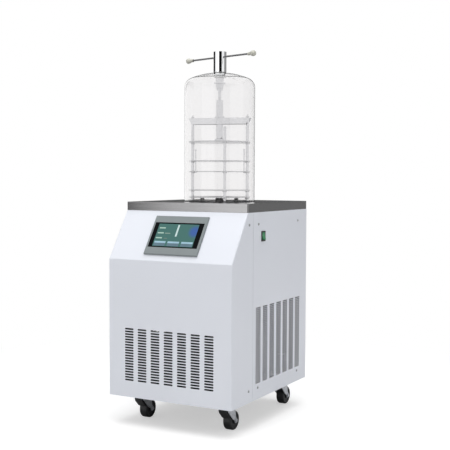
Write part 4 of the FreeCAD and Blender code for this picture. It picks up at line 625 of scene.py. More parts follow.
# ---- console -----------------------------------------------------------------------------------
def console_place():
    """The console's own axes: X across, Y up the slope, Z out of it, from the slope's middle."""
    low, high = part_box("front_cover")
    along = Vector((0, DECK_LOW.y - low.y, high.z - FOLD)).normalized()
    out = Vector((1, 0, 0)).cross(along)
    foot = Vector((0, (low.y + DECK_LOW.y) / 2, (FOLD + high.z) / 2))
    return Matrix(((1, 0, 0, foot.x), (0, along.y, out.y, foot.y), (0, along.z, out.z, foot.z),
                   (0, 0, 0, 1)))


def on_console(obj):
    """Move a piece made in the console's axes to its place."""
    obj.matrix_world = console_place()
    settle(obj)
    return obj


def tile(name, x0, x1, y0, y1, z0, z1, edge=0.0):
    """A thin block in the console's axes, in millimetres."""
    low = (x0 / 1000, y0 / 1000, z0 / 1000)
    high = (x1 / 1000, y1 / 1000, z1 / 1000)
    return on_console(block(name, low, high, edge))


class DRYER_OT_bezel(DryerStep, bpy.types.Operator):
    """Model the touch screen's raised frame with its pocket."""

    bl_idname = "dryer.bezel"
    bl_label = "Screen bezel"

    width: length("Width", "Width of the bezel", 0.208)
    height: length("Height", "Height of the bezel", 0.151)
    rise: length("Rise", "How far it stands proud", 0.007)
    corner: length("Corner", "Radius of the four corners", 0.005)
    glass_width: length("Glass width", "Width of the pocket", 0.1924)
    glass_height: length("Glass height", "Height of the pocket", 0.0974)
    pocket: length("Pocket", "Depth of the pocket", 0.0022)
    slant: length("Slant", "Size of the slanted rim", 0.0015)

    def execute(self, context):
        bezel = block("bezel_frame", (-self.width / 2, -self.height / 2, 0),
                      (self.width / 2, self.height / 2, self.rise - self.slant))
        only(bezel)
        bpy.ops.object.mode_set(mode="EDIT")
        mesh = bmesh.from_edit_mesh(bezel.data)
        for edge in mesh.edges:
            edge.select_set(abs(edge.verts[0].co.z - edge.verts[1].co.z) > self.rise / 2)
        bmesh.update_edit_mesh(bezel.data)
        bpy.ops.mesh.bevel(offset=self.corner, segments=5, affect="EDGES")
        mesh = bmesh.from_edit_mesh(bezel.data)
        for face in mesh.faces:
            face.select_set(face.normal.z > UPWARD)
        bmesh.update_edit_mesh(bezel.data)
        bpy.ops.mesh.inset(thickness=self.slant)
        bpy.ops.transform.translate(value=(0, 0, self.slant))
        bpy.ops.object.mode_set(mode="OBJECT")
        half_w, half_h = self.glass_width / 2, self.glass_height / 2
        past = 0.002
        bored(bezel, [block("cutter", (-half_w, -half_h, self.rise - self.pocket),
                            (half_w, half_h, self.rise + past))])
        on_console(bezel)
        rounded(bezel, context.scene.dryer_sizes.edge * 0.5)
        grey = grained("Bezel paint", context.scene.dryer_colours.bezel, 0.36, variation=0.03,
                       scale=1700.0, patches=20.0, bump=0.12, depth=0.0001)
        finish_piece(bezel, "cabinet", "bezel_paint", grey, "screen_bezel")
        return {"FINISHED"}


class DRYER_OT_display(DryerStep, bpy.types.Operator):
    """Model the cover glass with the lit display and its plain marks."""

    bl_idname = "dryer.display"
    bl_label = "Display"

    def execute(self, context):
        colours = context.scene.dryer_colours
        low, top = 4.8, 6.4                 # the glass, in millimetres out of the slope
        sheet = tile("cover_glass", -96, 96, -48.5, 48.5, low, top, 0.0003)
        dark = grained("Dark glass", (0.002, 0.003, 0.004), 0.09, variation=0.1, sheen=0.02,
                       scale=300.0, bump=0.01, specular=0.06)
        finish_piece(sheet, "cabinet", "screen_glass", dark, "screen_glass")
        blue_spot = console_place() @ Vector((0.067, 0.016, top / 1000))
        ground = lit_ground("Display ground", colours.screen_ground, colours.screen_patch,
                            blue_spot, 0.029)
        mark = lit("Display marks", colours.screen_mark)
        faint = lit("Display faint marks", shaded(colours.screen_mark, 0.55))
        ghost = lit("Display ghost marks", shaded(colours.screen_mark, 0.33))
        button = lit("Display buttons", colours.screen_button)
        shade = lit("Display button shade", colours.screen_shade)
        column = lit("Display column", (0.60, 0.75, 0.74))
        left = -80.0                        # the lit field's left edge
        field, face = top + 0.06, top + 0.10    # fronts of the field and of the marks on it
        marks = [("mark", x, x + 24, y - 2.3, y + 2.3, mark)
                 for x, y in ((left + 6, 27.0), (left + 5, 7.4), (left + 4, -12.0))]
        marks += [("faint", left + 34, left + 55, 4.6, 8.2, faint),
                  ("ghost", left + 36, left + 49, -15.0, -11.8, ghost),
                  ("column", -3.6, 3.0, -5.0, 40.5, column)]
        for start, stop in ((4, 48), (56, 101), (110, 154)):
            marks += [("button", left + start, left + stop, -31.4, -24.6, button),
                      ("shade", left + start, left + stop, -42.6, -31.4, shade)]
        finish_piece(tile("display_ground_00", left, 77.0, -44.0, 43.6, top, field), "cabinet",
                     "screen_glass", ground)
        for number, (name, x0, x1, y0, y1, material) in enumerate(marks, 1):
            piece = tile("display_%s_%02d" % (name, number), x0, x1, y0, y1, field, face)
            finish_piece(piece, "cabinet", "screen_glass", material)
        paint("screen_housing", grained("Housing plastic", (0.02, 0.02, 0.022), 0.6, scale=700.0))
        return {"FINISHED"}


class DRYER_OT_switch(DryerStep, bpy.types.Operator):
    """Finish the rocker switch and its frame."""

    bl_idname = "dryer.switch"
    bl_label = "Switch"

    def execute(self, context):
        edge = context.scene.dryer_sizes.edge
        black = grained("Switch plastic", (0.012, 0.013, 0.013), 0.38, scale=1400.0)
        dress("switch_frame", "switch_surround", edge, "cabinet", "black_plastic", black)
        green = rocker_lens("Rocker lens", context.scene.dryer_colours.rocker)
        dress("switch_rocker", "rocker_lens", edge, "rocker", "rocker_green", green)
        return {"FINISHED"}


# ---- casters -----------------------------------------------------------------------------------
class DRYER_OT_casters(DryerStep, bpy.types.Operator):
    """Model the wheels and ease the edges of forks, plates and pedals."""

    bl_idname = "dryer.casters"
    bl_label = "Casters"

    def execute(self, context):
        sizes = context.scene.dryer_sizes
        colours = context.scene.dryer_colours
        zinc = grained("Zinc plate", colours.zinc, 0.32, metallic=0.85, variation=0.10, sheen=0.08,
                       scale=260.0, patches=70.0, bump=0.05)
        tread = grained("Wheel rubber", colours.tread, 0.46, variation=0.2, sheen=0.08,
                        patches=50.0, bump=0.2)
        pedal = grained("Pedal plastic", PITCH, 0.40, variation=0.15, scale=1200.0)
        dress("caster_plates", "caster_tops", sizes.edge * 0.7, "cabinet", "zinc_steel", zinc)
        for name in CASTERS:
            dress("fork_" + name, "fork_shell_" + name, sizes.edge * 0.8, "fork_body_" + name,
                  "zinc_steel", zinc)
            finish_piece(self.wheel(name, sizes.tread_round), "wheel_body_" + name, "tread_rubber",
                         tread, "wheel_" + name)
            if name.startswith("front"):
                dress("pedal_" + name, "pedal_shell_" + name, sizes.soft_edge,
                      "pedal_body_" + name, "black_plastic", pedal)
        return {"FINISHED"}

    def wheel(self, name, corner):
        """A wheel with rounded shoulders, a groove beside the tread and a bored hub."""
        low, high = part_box("wheel_" + name)
        outer = (high.z - low.z) / 2
        hub = (high.x - low.x) / 2          # half widths of the hub, the tread and the web
        rim, web = hub - 0.001, hub - 0.004
        bore, boss, well, wall, face = 0.00408, 0.010, 0.0118, 0.0225, 0.0262
        boss_ease, wall_ease, face_ease = (0.0012, 0.0008), (0.0013, 0.0012), (0.0014, 0.0004)
        half = [(bore, hub), (boss, hub), (boss + boss_ease[0], hub - boss_ease[1]), (well, web),
                (wall, web), (wall + wall_ease[0], web + wall_ease[1]),
                (face - face_ease[0], rim - face_ease[1]), (face, rim)]
        half += arc(outer - corner, rim - corner, corner, 0.0, math.pi / 2, 8)
        outline = half + [(r, -z) for r, z in reversed(half)] + half[:1]
        return lathe("wheel_tyre_" + name, outline, (low + high) / 2, (1, 0, 0), steps=64)


# ---- jar and handle ----------------------------------------------------------------------------
class DRYER_OT_jar(DryerStep, bpy.types.Operator):
    """Turn the clear jar, its gasket and the gland's seals."""

    bl_idname = "dryer.jar"
    bl_label = "Jar"

    crown: length("Crown", "Height of the jar's top above the deck", 0.463)
    hole: length("Hole", "Radius of the hole for the gland", 0.0123)
    gasket: length("Gasket", "Thickness of the gasket under the jar", 0.003)
    seal: length("Seal", "Thickness of the gland's seals", 0.002)

    def execute(self, context):
        outer = radius_of("acrylic_jar")
        acrylic = clear_acrylic("Clear acrylic", context.scene.dryer_colours.acrylic)
        jar = lathe("jar_shell", self.shell(outer, context.scene.dryer_sizes), steps=128,
                    edge=TURNED_EASE)
        finish_piece(jar, "cabinet", "acrylic", acrylic, "acrylic_jar")
        bore, head_r, nut_r = 0.0122, 0.0188, 0.0148
        head, nut = heights("jar_seals")[1], heights("gland_nut")[1]
        seals = joined("jar_seal_rings", [self.ring(bore, head_r, head - self.seal, head),
                                          self.ring(bore, nut_r, nut, nut + self.seal)])
        rubber = grained("White seal rubber", (0.70, 0.70, 0.69), 0.5, variation=0.03, scale=800.0,
                         patches=30.0, bump=0.1)
        finish_piece(seals, "cabinet", "seal_rubber", rubber, "jar_seals")
        inside, proud = 0.0085, 0.0025      # how far the gasket shows on each side of the wall
        gasket = self.ring(outer - inside, outer + proud, DECK, DECK + self.gasket)
        gasket.name = gasket.data.name = "jar_gasket"
        dark = grained("Gasket rubber", (0.040, 0.040, 0.042), 0.6, variation=0.15, scale=800.0,
                       patches=30.0, bump=0.15, specular=0.1)
        finish_piece(gasket, "cabinet", "seal_rubber", dark)
        return {"FINISHED"}

    def shell(self, outer, sizes):
        """The jar's outline: crown, knuckle and wall outside, and back up inside."""
        foot = heights("acrylic_jar")[0]
        dish_z = DECK + self.crown - sizes.jar_dish
        knuckle_r = outer - sizes.jar_knuckle
        knuckle_z = dish_z + math.sqrt((sizes.jar_dish - sizes.jar_knuckle) ** 2 - knuckle_r ** 2)
        lean = math.atan2(knuckle_r, knuckle_z - dish_z)
        skins = []
        for inset in (0.0, sizes.jar_wall):
            dish = sizes.jar_dish - inset
            skin = arc(0, dish_z, dish, math.asin(self.hole / dish), lean, 14)
            skin += arc(knuckle_r, knuckle_z, sizes.jar_knuckle - inset, lean, math.pi / 2, 12)[1:]
            skins.append(skin + [(outer - inset, foot)])
        return skins[0] + skins[1][::-1] + skins[0][:1]

    def ring(self, inner, outer, low, high):
        """A flat ring with eased corners."""
        return lathe("ring", hollow(inner, outer, low, high), steps=96, edge=TURNED_EASE)


class DRYER_OT_gland(DryerStep, bpy.types.Operator):
    """Turn the gland's body and its flanged nut."""

    bl_idname = "dryer.gland"
    bl_label = "Gland"

    nut_flange: length("Nut flange", "Height of the nut's flange above the deck", 0.430)
    flange: length("Flange", "Thickness of the flanges", 0.006)

    def execute(self, context):
        edge = context.scene.dryer_sizes.edge
        steel = brushed("Turned gland steel", context.scene.dryer_colours.rack, 0.16,
                        (60.0, 60.0, 2500.0), bump=0.04)
        low, high = heights("gland_body")
        body = lathe("gland_barrel", flanged(0.00508, 0.012, 0.019, low, high - self.flange, high),
                     edge=edge)
        finish_piece(body, "cabinet", "rack_steel", steel, "gland_body")
        low, high = heights("gland_nut")
        bore, tip, cup, barrel, wide = 0.0053, 0.0105, 0.012, 0.015, 0.0215
        top, floor = DECK + self.nut_flange, low + 0.007
        nut = lathe("gland_clamp", [(bore, low), (tip, low), (barrel, top - self.flange),
                                    (wide, top - self.flange), (wide, top), (barrel, top),
                                    (barrel, high), (cup, high), (cup, floor), (bore, floor),
                                    (bore, low)], edge=edge)
        finish_piece(nut, "cabinet", "rack_steel", steel, "gland_nut")
        return {"FINISHED"}


class DRYER_OT_handle(DryerStep, bpy.types.Operator):
    """Model the handle's hub, bar, knobs and spindle."""

    bl_idname = "dryer.handle"
    bl_label = "T-handle"

    bar_angle: turned("Bar angle", "Turn of the bar from +X at rest", -16.0)
    bar_half: length("Half bar", "Reach of the bar from the axis", 0.156)
    knob_foot: length("Knob's foot", "Where the knobs start on the bar", 0.1395)
    change: length("Change", "Where the spindle turns square, above the deck", 0.396)

    def execute(self, context):
        edge = context.scene.dryer_sizes.edge
        colours = context.scene.dryer_colours
        chrome = brushed("Chrome plate", colours.chrome, 0.05, (40.0, 40.0, 1800.0),
                         variation=0.01, sheen=0.015, bump=0.01)
        along = Vector((math.cos(self.bar_angle), math.sin(self.bar_angle), 0))
        low, high = heights("handle_hub")
        bar_low, bar_high = heights("t_bar")
        bar_r = (bar_high - bar_low) / 2
        foot, top_of_rod = heights("drive_rod")
        clearance = 0.0003
        recess = heights("gland_body")[1] + clearance
        outer, bore = 0.0235, 0.021
        hub = lathe("hub_cap", [(0, high), (outer, high), (outer, low), (bore, low),
                                (bore, recess), (SPINDLE_R, recess), (SPINDLE_R, top_of_rod),
                                (0, top_of_rod)], steps=96)
        middle = AXIS + Vector((0, 0, (bar_low + bar_high) / 2))
        reach = 0.04                        # the bar's hole goes right through the hub
        bored(hub, [pin(bar_r, middle - along * reach, middle + along * reach)])
        rounded(hub, 0.0008, 3)
        finish_piece(hub, "handle", "handle_chrome", chrome, "handle_hub")
        bar = lathe("cross_bar", rod(bar_r, 0, 2 * self.bar_half), middle - along * self.bar_half,
                    along, steps=32, edge=edge)
        satin = brushed("Satin bar steel", colours.bar, 0.24, (30.0, 30.0, 1200.0), variation=0.05,
                        bump=0.02)
        finish_piece(bar, "handle", "handle_chrome", satin, "t_bar")
        knobs = joined("ivory_knobs", [self.knob(middle, along * side, bar_r) for side in (-1, 1)])
        ivory = grained("Ivory plastic", colours.ivory, 0.24, scale=200.0, patches=60.0, bump=0.03,
                        coat=0.2)
        finish_piece(knobs, "handle", "ivory", ivory, "bar_knobs")
        steel = brushed("Spindle steel", colours.rack, 0.14, (60.0, 60.0, 900.0), bump=0.03)
        change = DECK + self.change
        round_part = lathe("spindle", rod(SPINDLE_R, change, top_of_rod), steps=32,
                           edge=edge * 0.5)
        square = square_bar("spindle_square", 0.004, foot, change, edge * 0.5)
        finish_piece(joined("spindle", [round_part, square]), "handle", "rack_steel", steel,
                     "drive_rod")
        return {"FINISHED"}

    def knob(self, middle, outward, bore):
        """A pear-shaped grip on one end of the bar."""
        neck, belly = 0.0058, 0.0104                    # radii
        depth, waist, widest, tip = 0.0165, 0.0068, 0.0257, 0.034   # heights
        ease = 0.0006
        steps = range(1, 11)
        outline = [(0, depth), (bore, depth), (bore, 0.0), (neck - ease, 0.0), (neck, ease),
                   (neck, waist)]
        for share in (step / 10 for step in steps):
            swell = share * share * (3 - 2 * share)
            outline.append((neck + (belly - neck) * swell, waist + (widest - waist) * share))
        for angle in (math.pi / 2 * step / 10 for step in steps):
            outline.append((belly * math.cos(angle), widest + (tip - widest) * math.sin(angle)))
        outline[-1] = (0, tip)
        return lathe("knob", outline, middle + outward * self.knob_foot, outward, steps=40)


# ---- press and rack ----------------------------------------------------------------------------
POST_ANGLES = (13.0, 193.0)     # degrees about the jar's axis, from +X
GUIDE_ANGLE = -51.0
POST_RING = 0.103               # radii of the rings on which the rods and the links stand
LINK_RING = 0.091
POST_R, GUIDE_R = 0.0055, 0.005
RODS = ((POST_R, POST_ANGLES[0]), (POST_R, POST_ANGLES[1]), (GUIDE_R, GUIDE_ANGLE))


def on_ring(radius, degrees, height=0.0):
    """A place on a ring about the jar's axis at a height above the deck."""
    turn = math.radians(degrees)
    return AXIS + Vector((radius * math.cos(turn), radius * math.sin(turn), DECK + height))


class DRYER_OT_press(DryerStep, bpy.types.Operator):
    """Model the press screw, its foot, its nut and the head beam."""

    bl_idname = "dryer.press"
    bl_label = "Press"

    def execute(self, context):
        edge = context.scene.dryer_sizes.edge
        base = context.scene.dryer_colours.rack
        polished = brushed("Polished press steel", base, 0.10, (50.0, 50.0, 1500.0),
                           variation=0.03, sheen=0.03, bump=0.02)
        low, high = heights("press_screw")
        head, neck, outer, ease, square = 0.011, 0.0075, 0.0125, 0.001, 0.00415     # radii
        collar, barrel = low + 0.004, low + 0.0101      # heights where the head and neck end
        screw = lathe("press_barrel", [(0, low), (head, low), (head, collar), (neck, collar),
                                       (neck, barrel), (outer - ease, barrel),
                                       (outer, barrel + ease), (outer, high - ease),
                                       (outer - ease, high), (0, high)], steps=64)
        floor, past = barrel + 0.004, high + 0.002
        bored(screw, [square_bar("cutter", square, floor, past)])
        rounded(screw, 0)
        finish_piece(screw, "screw", "rack_steel", polished, "press_screw")
        dress("press_foot", "press_collar", edge, "plate", "rack_steel", polished)
        black = grained("Blackened screws", JET, 0.35, metallic=0.6)
        collar_top, screw_ring = heights("press_foot")[1], 0.0138
        cap, socket, rise, depth = 0.0027, 0.0014, 0.003, 0.0015
        outline = [(0, 0), (cap, 0), (cap, rise), (socket, rise), (socket, depth), (0, depth)]
        for number, degrees in enumerate((150.0, 330.0)):
            spot = on_ring(screw_ring, degrees, collar_top - DECK)
            small = lathe("collar_screw_%d" % number, outline, spot, steps=16, edge=0.0003)
            finish_piece(small, "plate", "rack_steel", black)
        low, high = heights("beam_nut")
        bore, barrel, flange, rise = 0.01258, 0.015, 0.0175, 0.007
        nut = lathe("press_nut", flanged(bore, barrel, flange, low, high - rise, high), edge=edge)
        finish_piece(nut, "cabinet", "rack_steel", polished, "beam_nut")
        sheet = brushed("Polished sheet", base, 0.12, (40.0, 40.0, 1600.0), variation=0.03,
                        sheen=0.04, bump=0.03)
        dress("head_beam", "beam_channel", edge, "cabinet", "rack_steel", sheet)
        return {"FINISHED"}


class DRYER_OT_rack(DryerStep, bpy.types.Operator):
    """Model the rods, nuts, shelves, links and feet of the rack."""

    bl_idname = "dryer.rack"
    bl_label = "Rack"

    def execute(self, context):
        sizes = context.scene.dryer_sizes
        base = context.scene.dryer_colours.rack
        drawn = brushed("Drawn rod steel", base, 0.14, (50.0, 50.0, 1200.0), variation=0.03,
                        sheen=0.04, bump=0.03)
        satin = brushed("Satin shelf steel", shaded(base, 0.82), 0.26, (14.0, 1200.0, 900.0),
                        variation=0.05, sheen=0.05, bump=0.05, anisotropy=0.3)
        shoulder, tip, stud = 0.299, 0.312, 0.003
        post = [(0, 0), (POST_R, 0), (POST_R, shoulder), (stud, shoulder), (stud, tip), (0, tip)]
        guide_tip, cone = 0.266, 0.003
        guide = [(0, 0), (GUIDE_R, 0), (GUIDE_R, guide_tip - cone), (GUIDE_R - cone, guide_tip),
                 (0, guide_tip)]
        outlines = {POST_R: post, GUIDE_R: guide}
        rods = [lathe("rod", outlines[radius], on_ring(POST_RING, angle), steps=32, edge=0.0005)
                for radius, angle in RODS]
        finish_piece(joined("rack_posts", rods), "cabinet", "rack_steel", drawn, "rack_rods")
        bore, outer, rise, foot = 0.00302, 0.006, 0.005, 0.301
        nuts = [lathe("nut", hollow(bore, outer, 0, rise), on_ring(POST_RING, angle, foot),
                      steps=6, edge=0.0004) for angle in POST_ANGLES]
        steel = brushed("Nut steel", shaded(base, 0.8), 0.25, (500.0, 500.0, 500.0))
        finish_piece(joined("post_caps", nuts), "cabinet", "screw_steel", steel, "post_nuts")
        # node, body, thickness, radius of the hole for a link, radius of the window
        for shelf in (("press_plate", "plate", 0.005, 0.0, 0.0),
                      ("shelf_2", "second_shelf", 0.003, 0.0023, 0.0),
                      ("shelf_3", "third_shelf", 0.003, 0.002, 0.0),
                      ("shelf_4", "cabinet", 0.003, 0.0, 0.0),
                      ("rack_base", "cabinet", 0.003, 0.0, 0.045)):
            self.shelf(*shelf, satin, sizes.edge)
        dress("shelf_links", "link_rods", sizes.edge * 0.4, "third_shelf", "rack_steel", drawn)
        rubber = grained("Foot rubber", (0.010, 0.010, 0.010), 0.6, variation=0.2)
        dress("rack_feet", "rack_pads", sizes.soft_edge, "cabinet", "foot_rubber", rubber)
        return {"FINISHED"}

    def shelf(self, node, body, thickness, link, window, material, edge):
        """A round shelf with a bored bush at each rod."""
        top = heights(node)[1]
        low = top - thickness
        outer = radius_of(node)
        plate = lathe("plate", hollow(window, outer, low, top) if window else rod(outer, low, top),
                      steps=96)
        bush, drop, past = 0.0075, 0.004, 0.001
        play = 0.0 if body == "cabinet" else 0.00008    # round the rods that a shelf slides on
        holes = [(on_ring(POST_RING, angle, low - DECK), radius + play, 32)
                 for radius, angle in RODS]
        bushes = [lathe("bush", hollow(hole, bush, -drop, 0), spot, steps=steps, edge=0.0004)
                  for spot, hole, steps in holes]
        if link:
            holes += [(on_ring(LINK_RING, angle, low - DECK), link, 16) for angle in POST_ANGLES]
        bored(plate, [pin(hole, spot - UP * past, spot + UP * (thickness + past), steps)
                      for spot, hole, steps in holes])
        rounded(plate, edge)
        finish_piece(joined(node + "_disc", [plate] + bushes), body, "rack_steel", material, node)


# ---- trap, ports and plant ---------------------------------------------------------------------
class DRYER_OT_trap(DryerStep, bpy.types.Operator):
    """Finish the cold trap, its baffle, the vacuum port, the drain valve and the inlet."""

    bl_idname = "dryer.trap"
    bl_label = "Cold trap and ports"

    def execute(self, context):
        edge = context.scene.dryer_sizes.edge
        colours = context.scene.dryer_colours
        vessel = brushed("Vessel steel", shaded(colours.rack, 0.9), 0.24, (30.0, 30.0, 700.0),
                         anisotropy=0.2)
        paint("cold_trap", vessel)
        paint("trap_baffle", grained("Baffle coating", JET, 0.6, variation=0.15, patches=40.0,
                                     bump=0.06, specular=0.05))
        paint("trap_insulation", grained("Foam skin", colours.foam, 0.85, variation=0.12,
                                         scale=160.0, patches=25.0, bump=0.5, depth=0.001))
        paint("trap_coil", brushed("Copper tube", colours.copper, 0.3, (80.0, 80.0, 80.0),
                                   variation=0.18))
        paint("refrigerant_lines", grained("Tube sleeve", JET, 0.7, variation=0.2, scale=400.0,
                                           bump=0.3, depth=0.0004))
        low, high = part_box("vacuum_port")
        run = high.y - low.y
        bore, tube, bead, flare = 0.012, 0.014, 0.020, 0.004
        outline = [(bore, 0), (tube, 0), (tube, run - 2 * flare), (bead, run - flare),
                   (bead, run), (bore, run), (bore, 0)]
        port = lathe("vacuum_neck", outline, ((low.x + high.x) / 2, low.y, (low.z + high.z) / 2),
                     (0, 1, 0), edge=edge * 0.7)
        finish_piece(port, "cabinet", "trap_steel", vessel, "vacuum_port")
        brass = grained("Valve brass", (0.55, 0.40, 0.16), 0.28, metallic=1.0, variation=0.08,
                        scale=500.0, patches=60.0, bump=0.05)
        dress("drain_valve", "drain_cock", edge * 0.5, "cabinet", "valve_brass", brass)
        steel = brushed("Lever steel", (0.45, 0.46, 0.48), 0.28, (900.0, 60.0, 60.0),
                        anisotropy=0.5)
        dress("drain_lever", "drain_handle", edge, "lever", "screw_steel", steel)
        black = grained("Inlet plastic", JET, 0.5, scale=1200.0)
        dress("power_inlet", "mains_socket", edge, "cabinet", "black_plastic", black)
        return {"FINISHED"}


class DRYER_OT_plant(DryerStep, bpy.types.Operator):
    """Finish the refrigeration plant inside the cabinet."""

    bl_idname = "dryer.plant"
    bl_label = "Refrigeration plant"

    def execute(self, context):
        enamel = grained("Compressor enamel", PITCH, 0.25, variation=0.15, scale=300.0,
                         patches=20.0, bump=0.08, coat=0.3)
        fins = brushed("Coated fins", (0.045, 0.045, 0.048), 0.42, (900.0, 60.0, 60.0))
        coated = grained("Coated steel", (0.028, 0.029, 0.031), 0.44, variation=0.15, scale=500.0,
                         patches=30.0, bump=0.08)
        box = grained("Control box paint", (0.040, 0.042, 0.045), 0.45, variation=0.08)
        finishes = {"compressor": enamel, "fan_motor": enamel, "condenser": fins,
                    "fan_rotor": coated, "fan_shroud": coated, "control_box": box}
        for node, material in finishes.items():
            paint(node, material)
        return {"FINISHED"}


# ---- stage -------------------------------------------------------------------------------------
WHITE = (1.0, 1.0, 1.0, 1.0)
FLOOR_SIZE = 800.0
FLOOR_GREY, FLOOR_LIFT = 0.70, 0.48
SHADOW_END, WHITE_FROM = 0.55, 1.6      # distances over which the floor turns white
DIRECT = ("Is Camera Ray", "Is Transmission Ray")
MIRRORED = ("Is Camera Ray", "Is Glossy Ray", "Is Transmission Ray")
# name, property of its power, place, height of its target, width, height
LAMPS = (
    ("overhead_light", "key", (0.3, -0.6, 3.6), 0.7, 3.4, 3.4),
    ("front_light", "fill", (-1.2, -4.6, 2.0), 0.7, 3.2, 2.6),
    ("side_light", "side", (4.4, 0.2, 1.8), 0.6, 2.6, 2.4),
)
# name, heading in degrees from the front, distance, width, low, high, grey, glow
CARDS = (
    ("front_card", 38.5, 5.4, 4.7, 0.05, 3.4, 0.01, 0.0),
    ("left_card", -90.0, 4.2, 4.2, 1.58, 3.4, 0.01, 0.0),
    ("low_card", -56.0, 4.0, 3.2, 0.02, 1.25, 0.01, 0.0),
    ("rear_card", 143.0, 4.4, 5.5, 0.05, 5.0, 0.0, 0.32),
    ("far_card", 197.0, 4.5, 4.2, 0.3, 3.6, 0.0, 0.13),
    ("bright_card", -10.0, 5.4, 3.9, 0.05, 3.2, 0.5, 1.25),
)


def seen(tree, kinds):
    """One for the kinds of ray that see the white surroundings."""
    rays = add(tree, "LightPath")
    last = rays.outputs[kinds[0]]
    for kind in kinds[1:]:
        either = add(tree, "Math", "MAXIMUM")
        tree.links.new(last, either.inputs[0])
        tree.links.new(rays.outputs[kind], either.inputs[1])
        last = either.outputs["Value"]
    return last


def aimed(place, target):
    """A placing that points -Z from a place to a target."""
    way = Vector(target) - Vector(place)
    return Matrix.Translation(Vector(place)) @ way.to_track_quat("-Z", "Y").to_matrix().to_4x4()


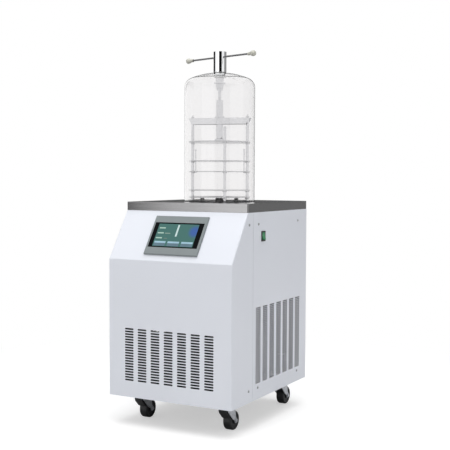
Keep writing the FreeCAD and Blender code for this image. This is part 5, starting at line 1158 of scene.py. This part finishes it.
class DRYER_OT_stage(DryerStep, bpy.types.Operator):
    """Set the floor, the soft lights, the cards for reflections, the room light and the camera."""

    bl_idname = "dryer.stage"
    bl_label = "Stage"

    def execute(self, context):
        stage = context.scene.dryer_stage
        deselect()
        bpy.ops.mesh.primitive_plane_add(size=FLOOR_SIZE, location=(0, 0, 0))
        floor = context.object
        floor.name = "floor"
        floor.data.materials.append(self.floor_paint())
        self.surroundings(context.scene, stage.room)
        for name, strength, place, height, *size in LAMPS:
            self.soft_light(name, place, (0, 0, height), size, getattr(stage, strength))
        for card in CARDS:
            self.card(*card)
        self.camera(context.scene, stage)
        context.scene.view_settings.view_transform = "Standard"
        return {"FINISHED"}

    def floor_paint(self):
        """Pale floor that keeps the object's soft shadow and turns white further out."""
        material, tree, shader, place = matt("Pale floor", FLOOR_GREY)
        white = add(tree, "Emission", Color=WHITE)
        share = add(tree, "Math", "MULTIPLY")
        tree.links.new(fade(tree, place, (0, 0, 0), SHADOW_END, WHITE_FROM), share.inputs[0])
        tree.links.new(seen(tree, MIRRORED), share.inputs[1])
        lift = add(tree, "Emission", Color=(FLOOR_LIFT, FLOOR_LIFT, FLOOR_LIFT, 1.0))
        tree.links.new(seen(tree, DIRECT), lift.inputs["Strength"])
        near = add(tree, "AddShader")
        total = add(tree, "MixShader")
        wire(tree, (shader, "BSDF", near, 0), (lift, "Emission", near, 1),
             (share, "Value", total, "Fac"), (near, "Shader", total, 1),
             (white, "Emission", total, 2),
             (total, "Shader", tree.nodes["Material Output"], "Surface"))
        return material

    def surroundings(self, scene, strength):
        """Plain room light, white wherever it is seen directly or in a reflection."""
        world = bpy.data.worlds.new("Room")
        world.use_nodes = True
        scene.world = world
        tree = world.node_tree
        back = levels(tree.nodes["Background"], Color=WHITE)
        level = add(tree, "MapRange", To_Min=strength, To_Max=1.0)
        tree.links.new(seen(tree, MIRRORED), level.inputs["Value"])
        wire(tree, (level, "Result", back, "Strength"))

    def soft_light(self, name, place, target, size, energy):
        """A large soft light that only diffuse surfaces notice."""
        lamp = bpy.data.lights.new(name, "AREA")
        lamp.shape = "RECTANGLE"
        lamp.size, lamp.size_y = size
        lamp.energy = energy
        obj = bpy.data.objects.new(name, lamp)
        bpy.context.scene.collection.objects.link(obj)
        obj.matrix_world = aimed(place, target)
        obj.visible_camera = obj.visible_glossy = obj.visible_transmission = False

    def card(self, name, heading, distance, width, low, high, grey, glow):
        """A card at a heading from the front, seen only in reflections."""
        turn = math.radians(heading)
        middle = (low + high) / 2
        place = AXIS + Vector((distance * math.sin(turn), -distance * math.cos(turn), middle))
        deselect()
        bpy.ops.mesh.primitive_plane_add(size=1.0, location=(0, 0, 0))
        obj = bpy.context.object
        obj.name = name
        obj.matrix_world = (aimed(place, AXIS + UP * middle)
                            @ Matrix.Diagonal((width, high - low, 1.0, 1.0)))
        material, _, shader, _ = matt(name, grey)
        levels(shader, Emission_Color=WHITE, Emission_Strength=glow)
        obj.data.materials.append(material)
        obj.visible_camera = obj.visible_diffuse = obj.visible_shadow = False
        obj.visible_transmission = False

    def camera(self, scene, stage):
        """The camera in front of the dryer, to its right."""
        turn, tilt = stage.heading, stage.pitch
        ahead = Vector((-math.sin(turn) * math.cos(tilt), math.cos(turn) * math.cos(tilt),
                        -math.sin(tilt)))
        right = Vector((math.cos(turn), math.sin(turn), 0))
        above = right.cross(ahead)
        side = right * math.cos(stage.roll) + above * math.sin(stage.roll)
        top = above * math.cos(stage.roll) - right * math.sin(stage.roll)
        data = bpy.data.cameras.new("camera")
        data.lens = stage.lens
        data.sensor_width = 36.0
        obj = bpy.data.objects.new("camera", data)
        scene.collection.objects.link(obj)
        place = Vector(stage.camera)
        rows = [(side[row], top[row], -ahead[row], place[row]) for row in range(3)]
        obj.matrix_world = Matrix((*rows, (0, 0, 0, 1)))
        scene.camera = obj


STEPS = (DRYER_OT_cabinet, DRYER_OT_deck, DRYER_OT_bezel, DRYER_OT_display, DRYER_OT_switch,
         DRYER_OT_casters, DRYER_OT_jar, DRYER_OT_gland, DRYER_OT_handle, DRYER_OT_press,
         DRYER_OT_rack, DRYER_OT_trap, DRYER_OT_plant, DRYER_OT_stage)
SETTINGS = {"dryer_colours": DryerColours, "dryer_sizes": DryerSizes, "dryer_stage": DryerStage}


class DRYER_PT_steps(bpy.types.Panel):
    """Buttons for every piece of the freeze dryer."""

    bl_idname = "DRYER_PT_steps"
    bl_label = "Freeze Dryer"
    bl_space_type = "VIEW_3D"
    bl_region_type = "UI"
    bl_category = "Freeze Dryer"

    def draw(self, context):
        for step in STEPS:
            self.layout.operator(step.bl_idname)
        for settings in SETTINGS:
            group = getattr(context.scene, settings)
            column = self.layout.column(align=True)
            for name in group.bl_rna.properties.keys():
                if name not in ("rna_type", "name"):
                    column.prop(group, name)


CLASSES = (*SETTINGS.values(), *STEPS, DRYER_PT_steps)


def register():
    """Register the classes and hang their settings on the scene."""
    for cls in CLASSES:
        bpy.utils.register_class(cls)
    for name, group in SETTINGS.items():
        setattr(bpy.types.Scene, name, PointerProperty(type=group))


def unregister():
    """Take the settings and the classes away again."""
    for name in SETTINGS:
        delattr(bpy.types.Scene, name)
    for cls in reversed(CLASSES):
        bpy.utils.unregister_class(cls)


def main():
    """Build every piece in order."""
    register()
    for step in STEPS:
        group, name = step.bl_idname.split(".")
        getattr(getattr(bpy.ops, group), name)()


if __name__ == "__main__":
    main()
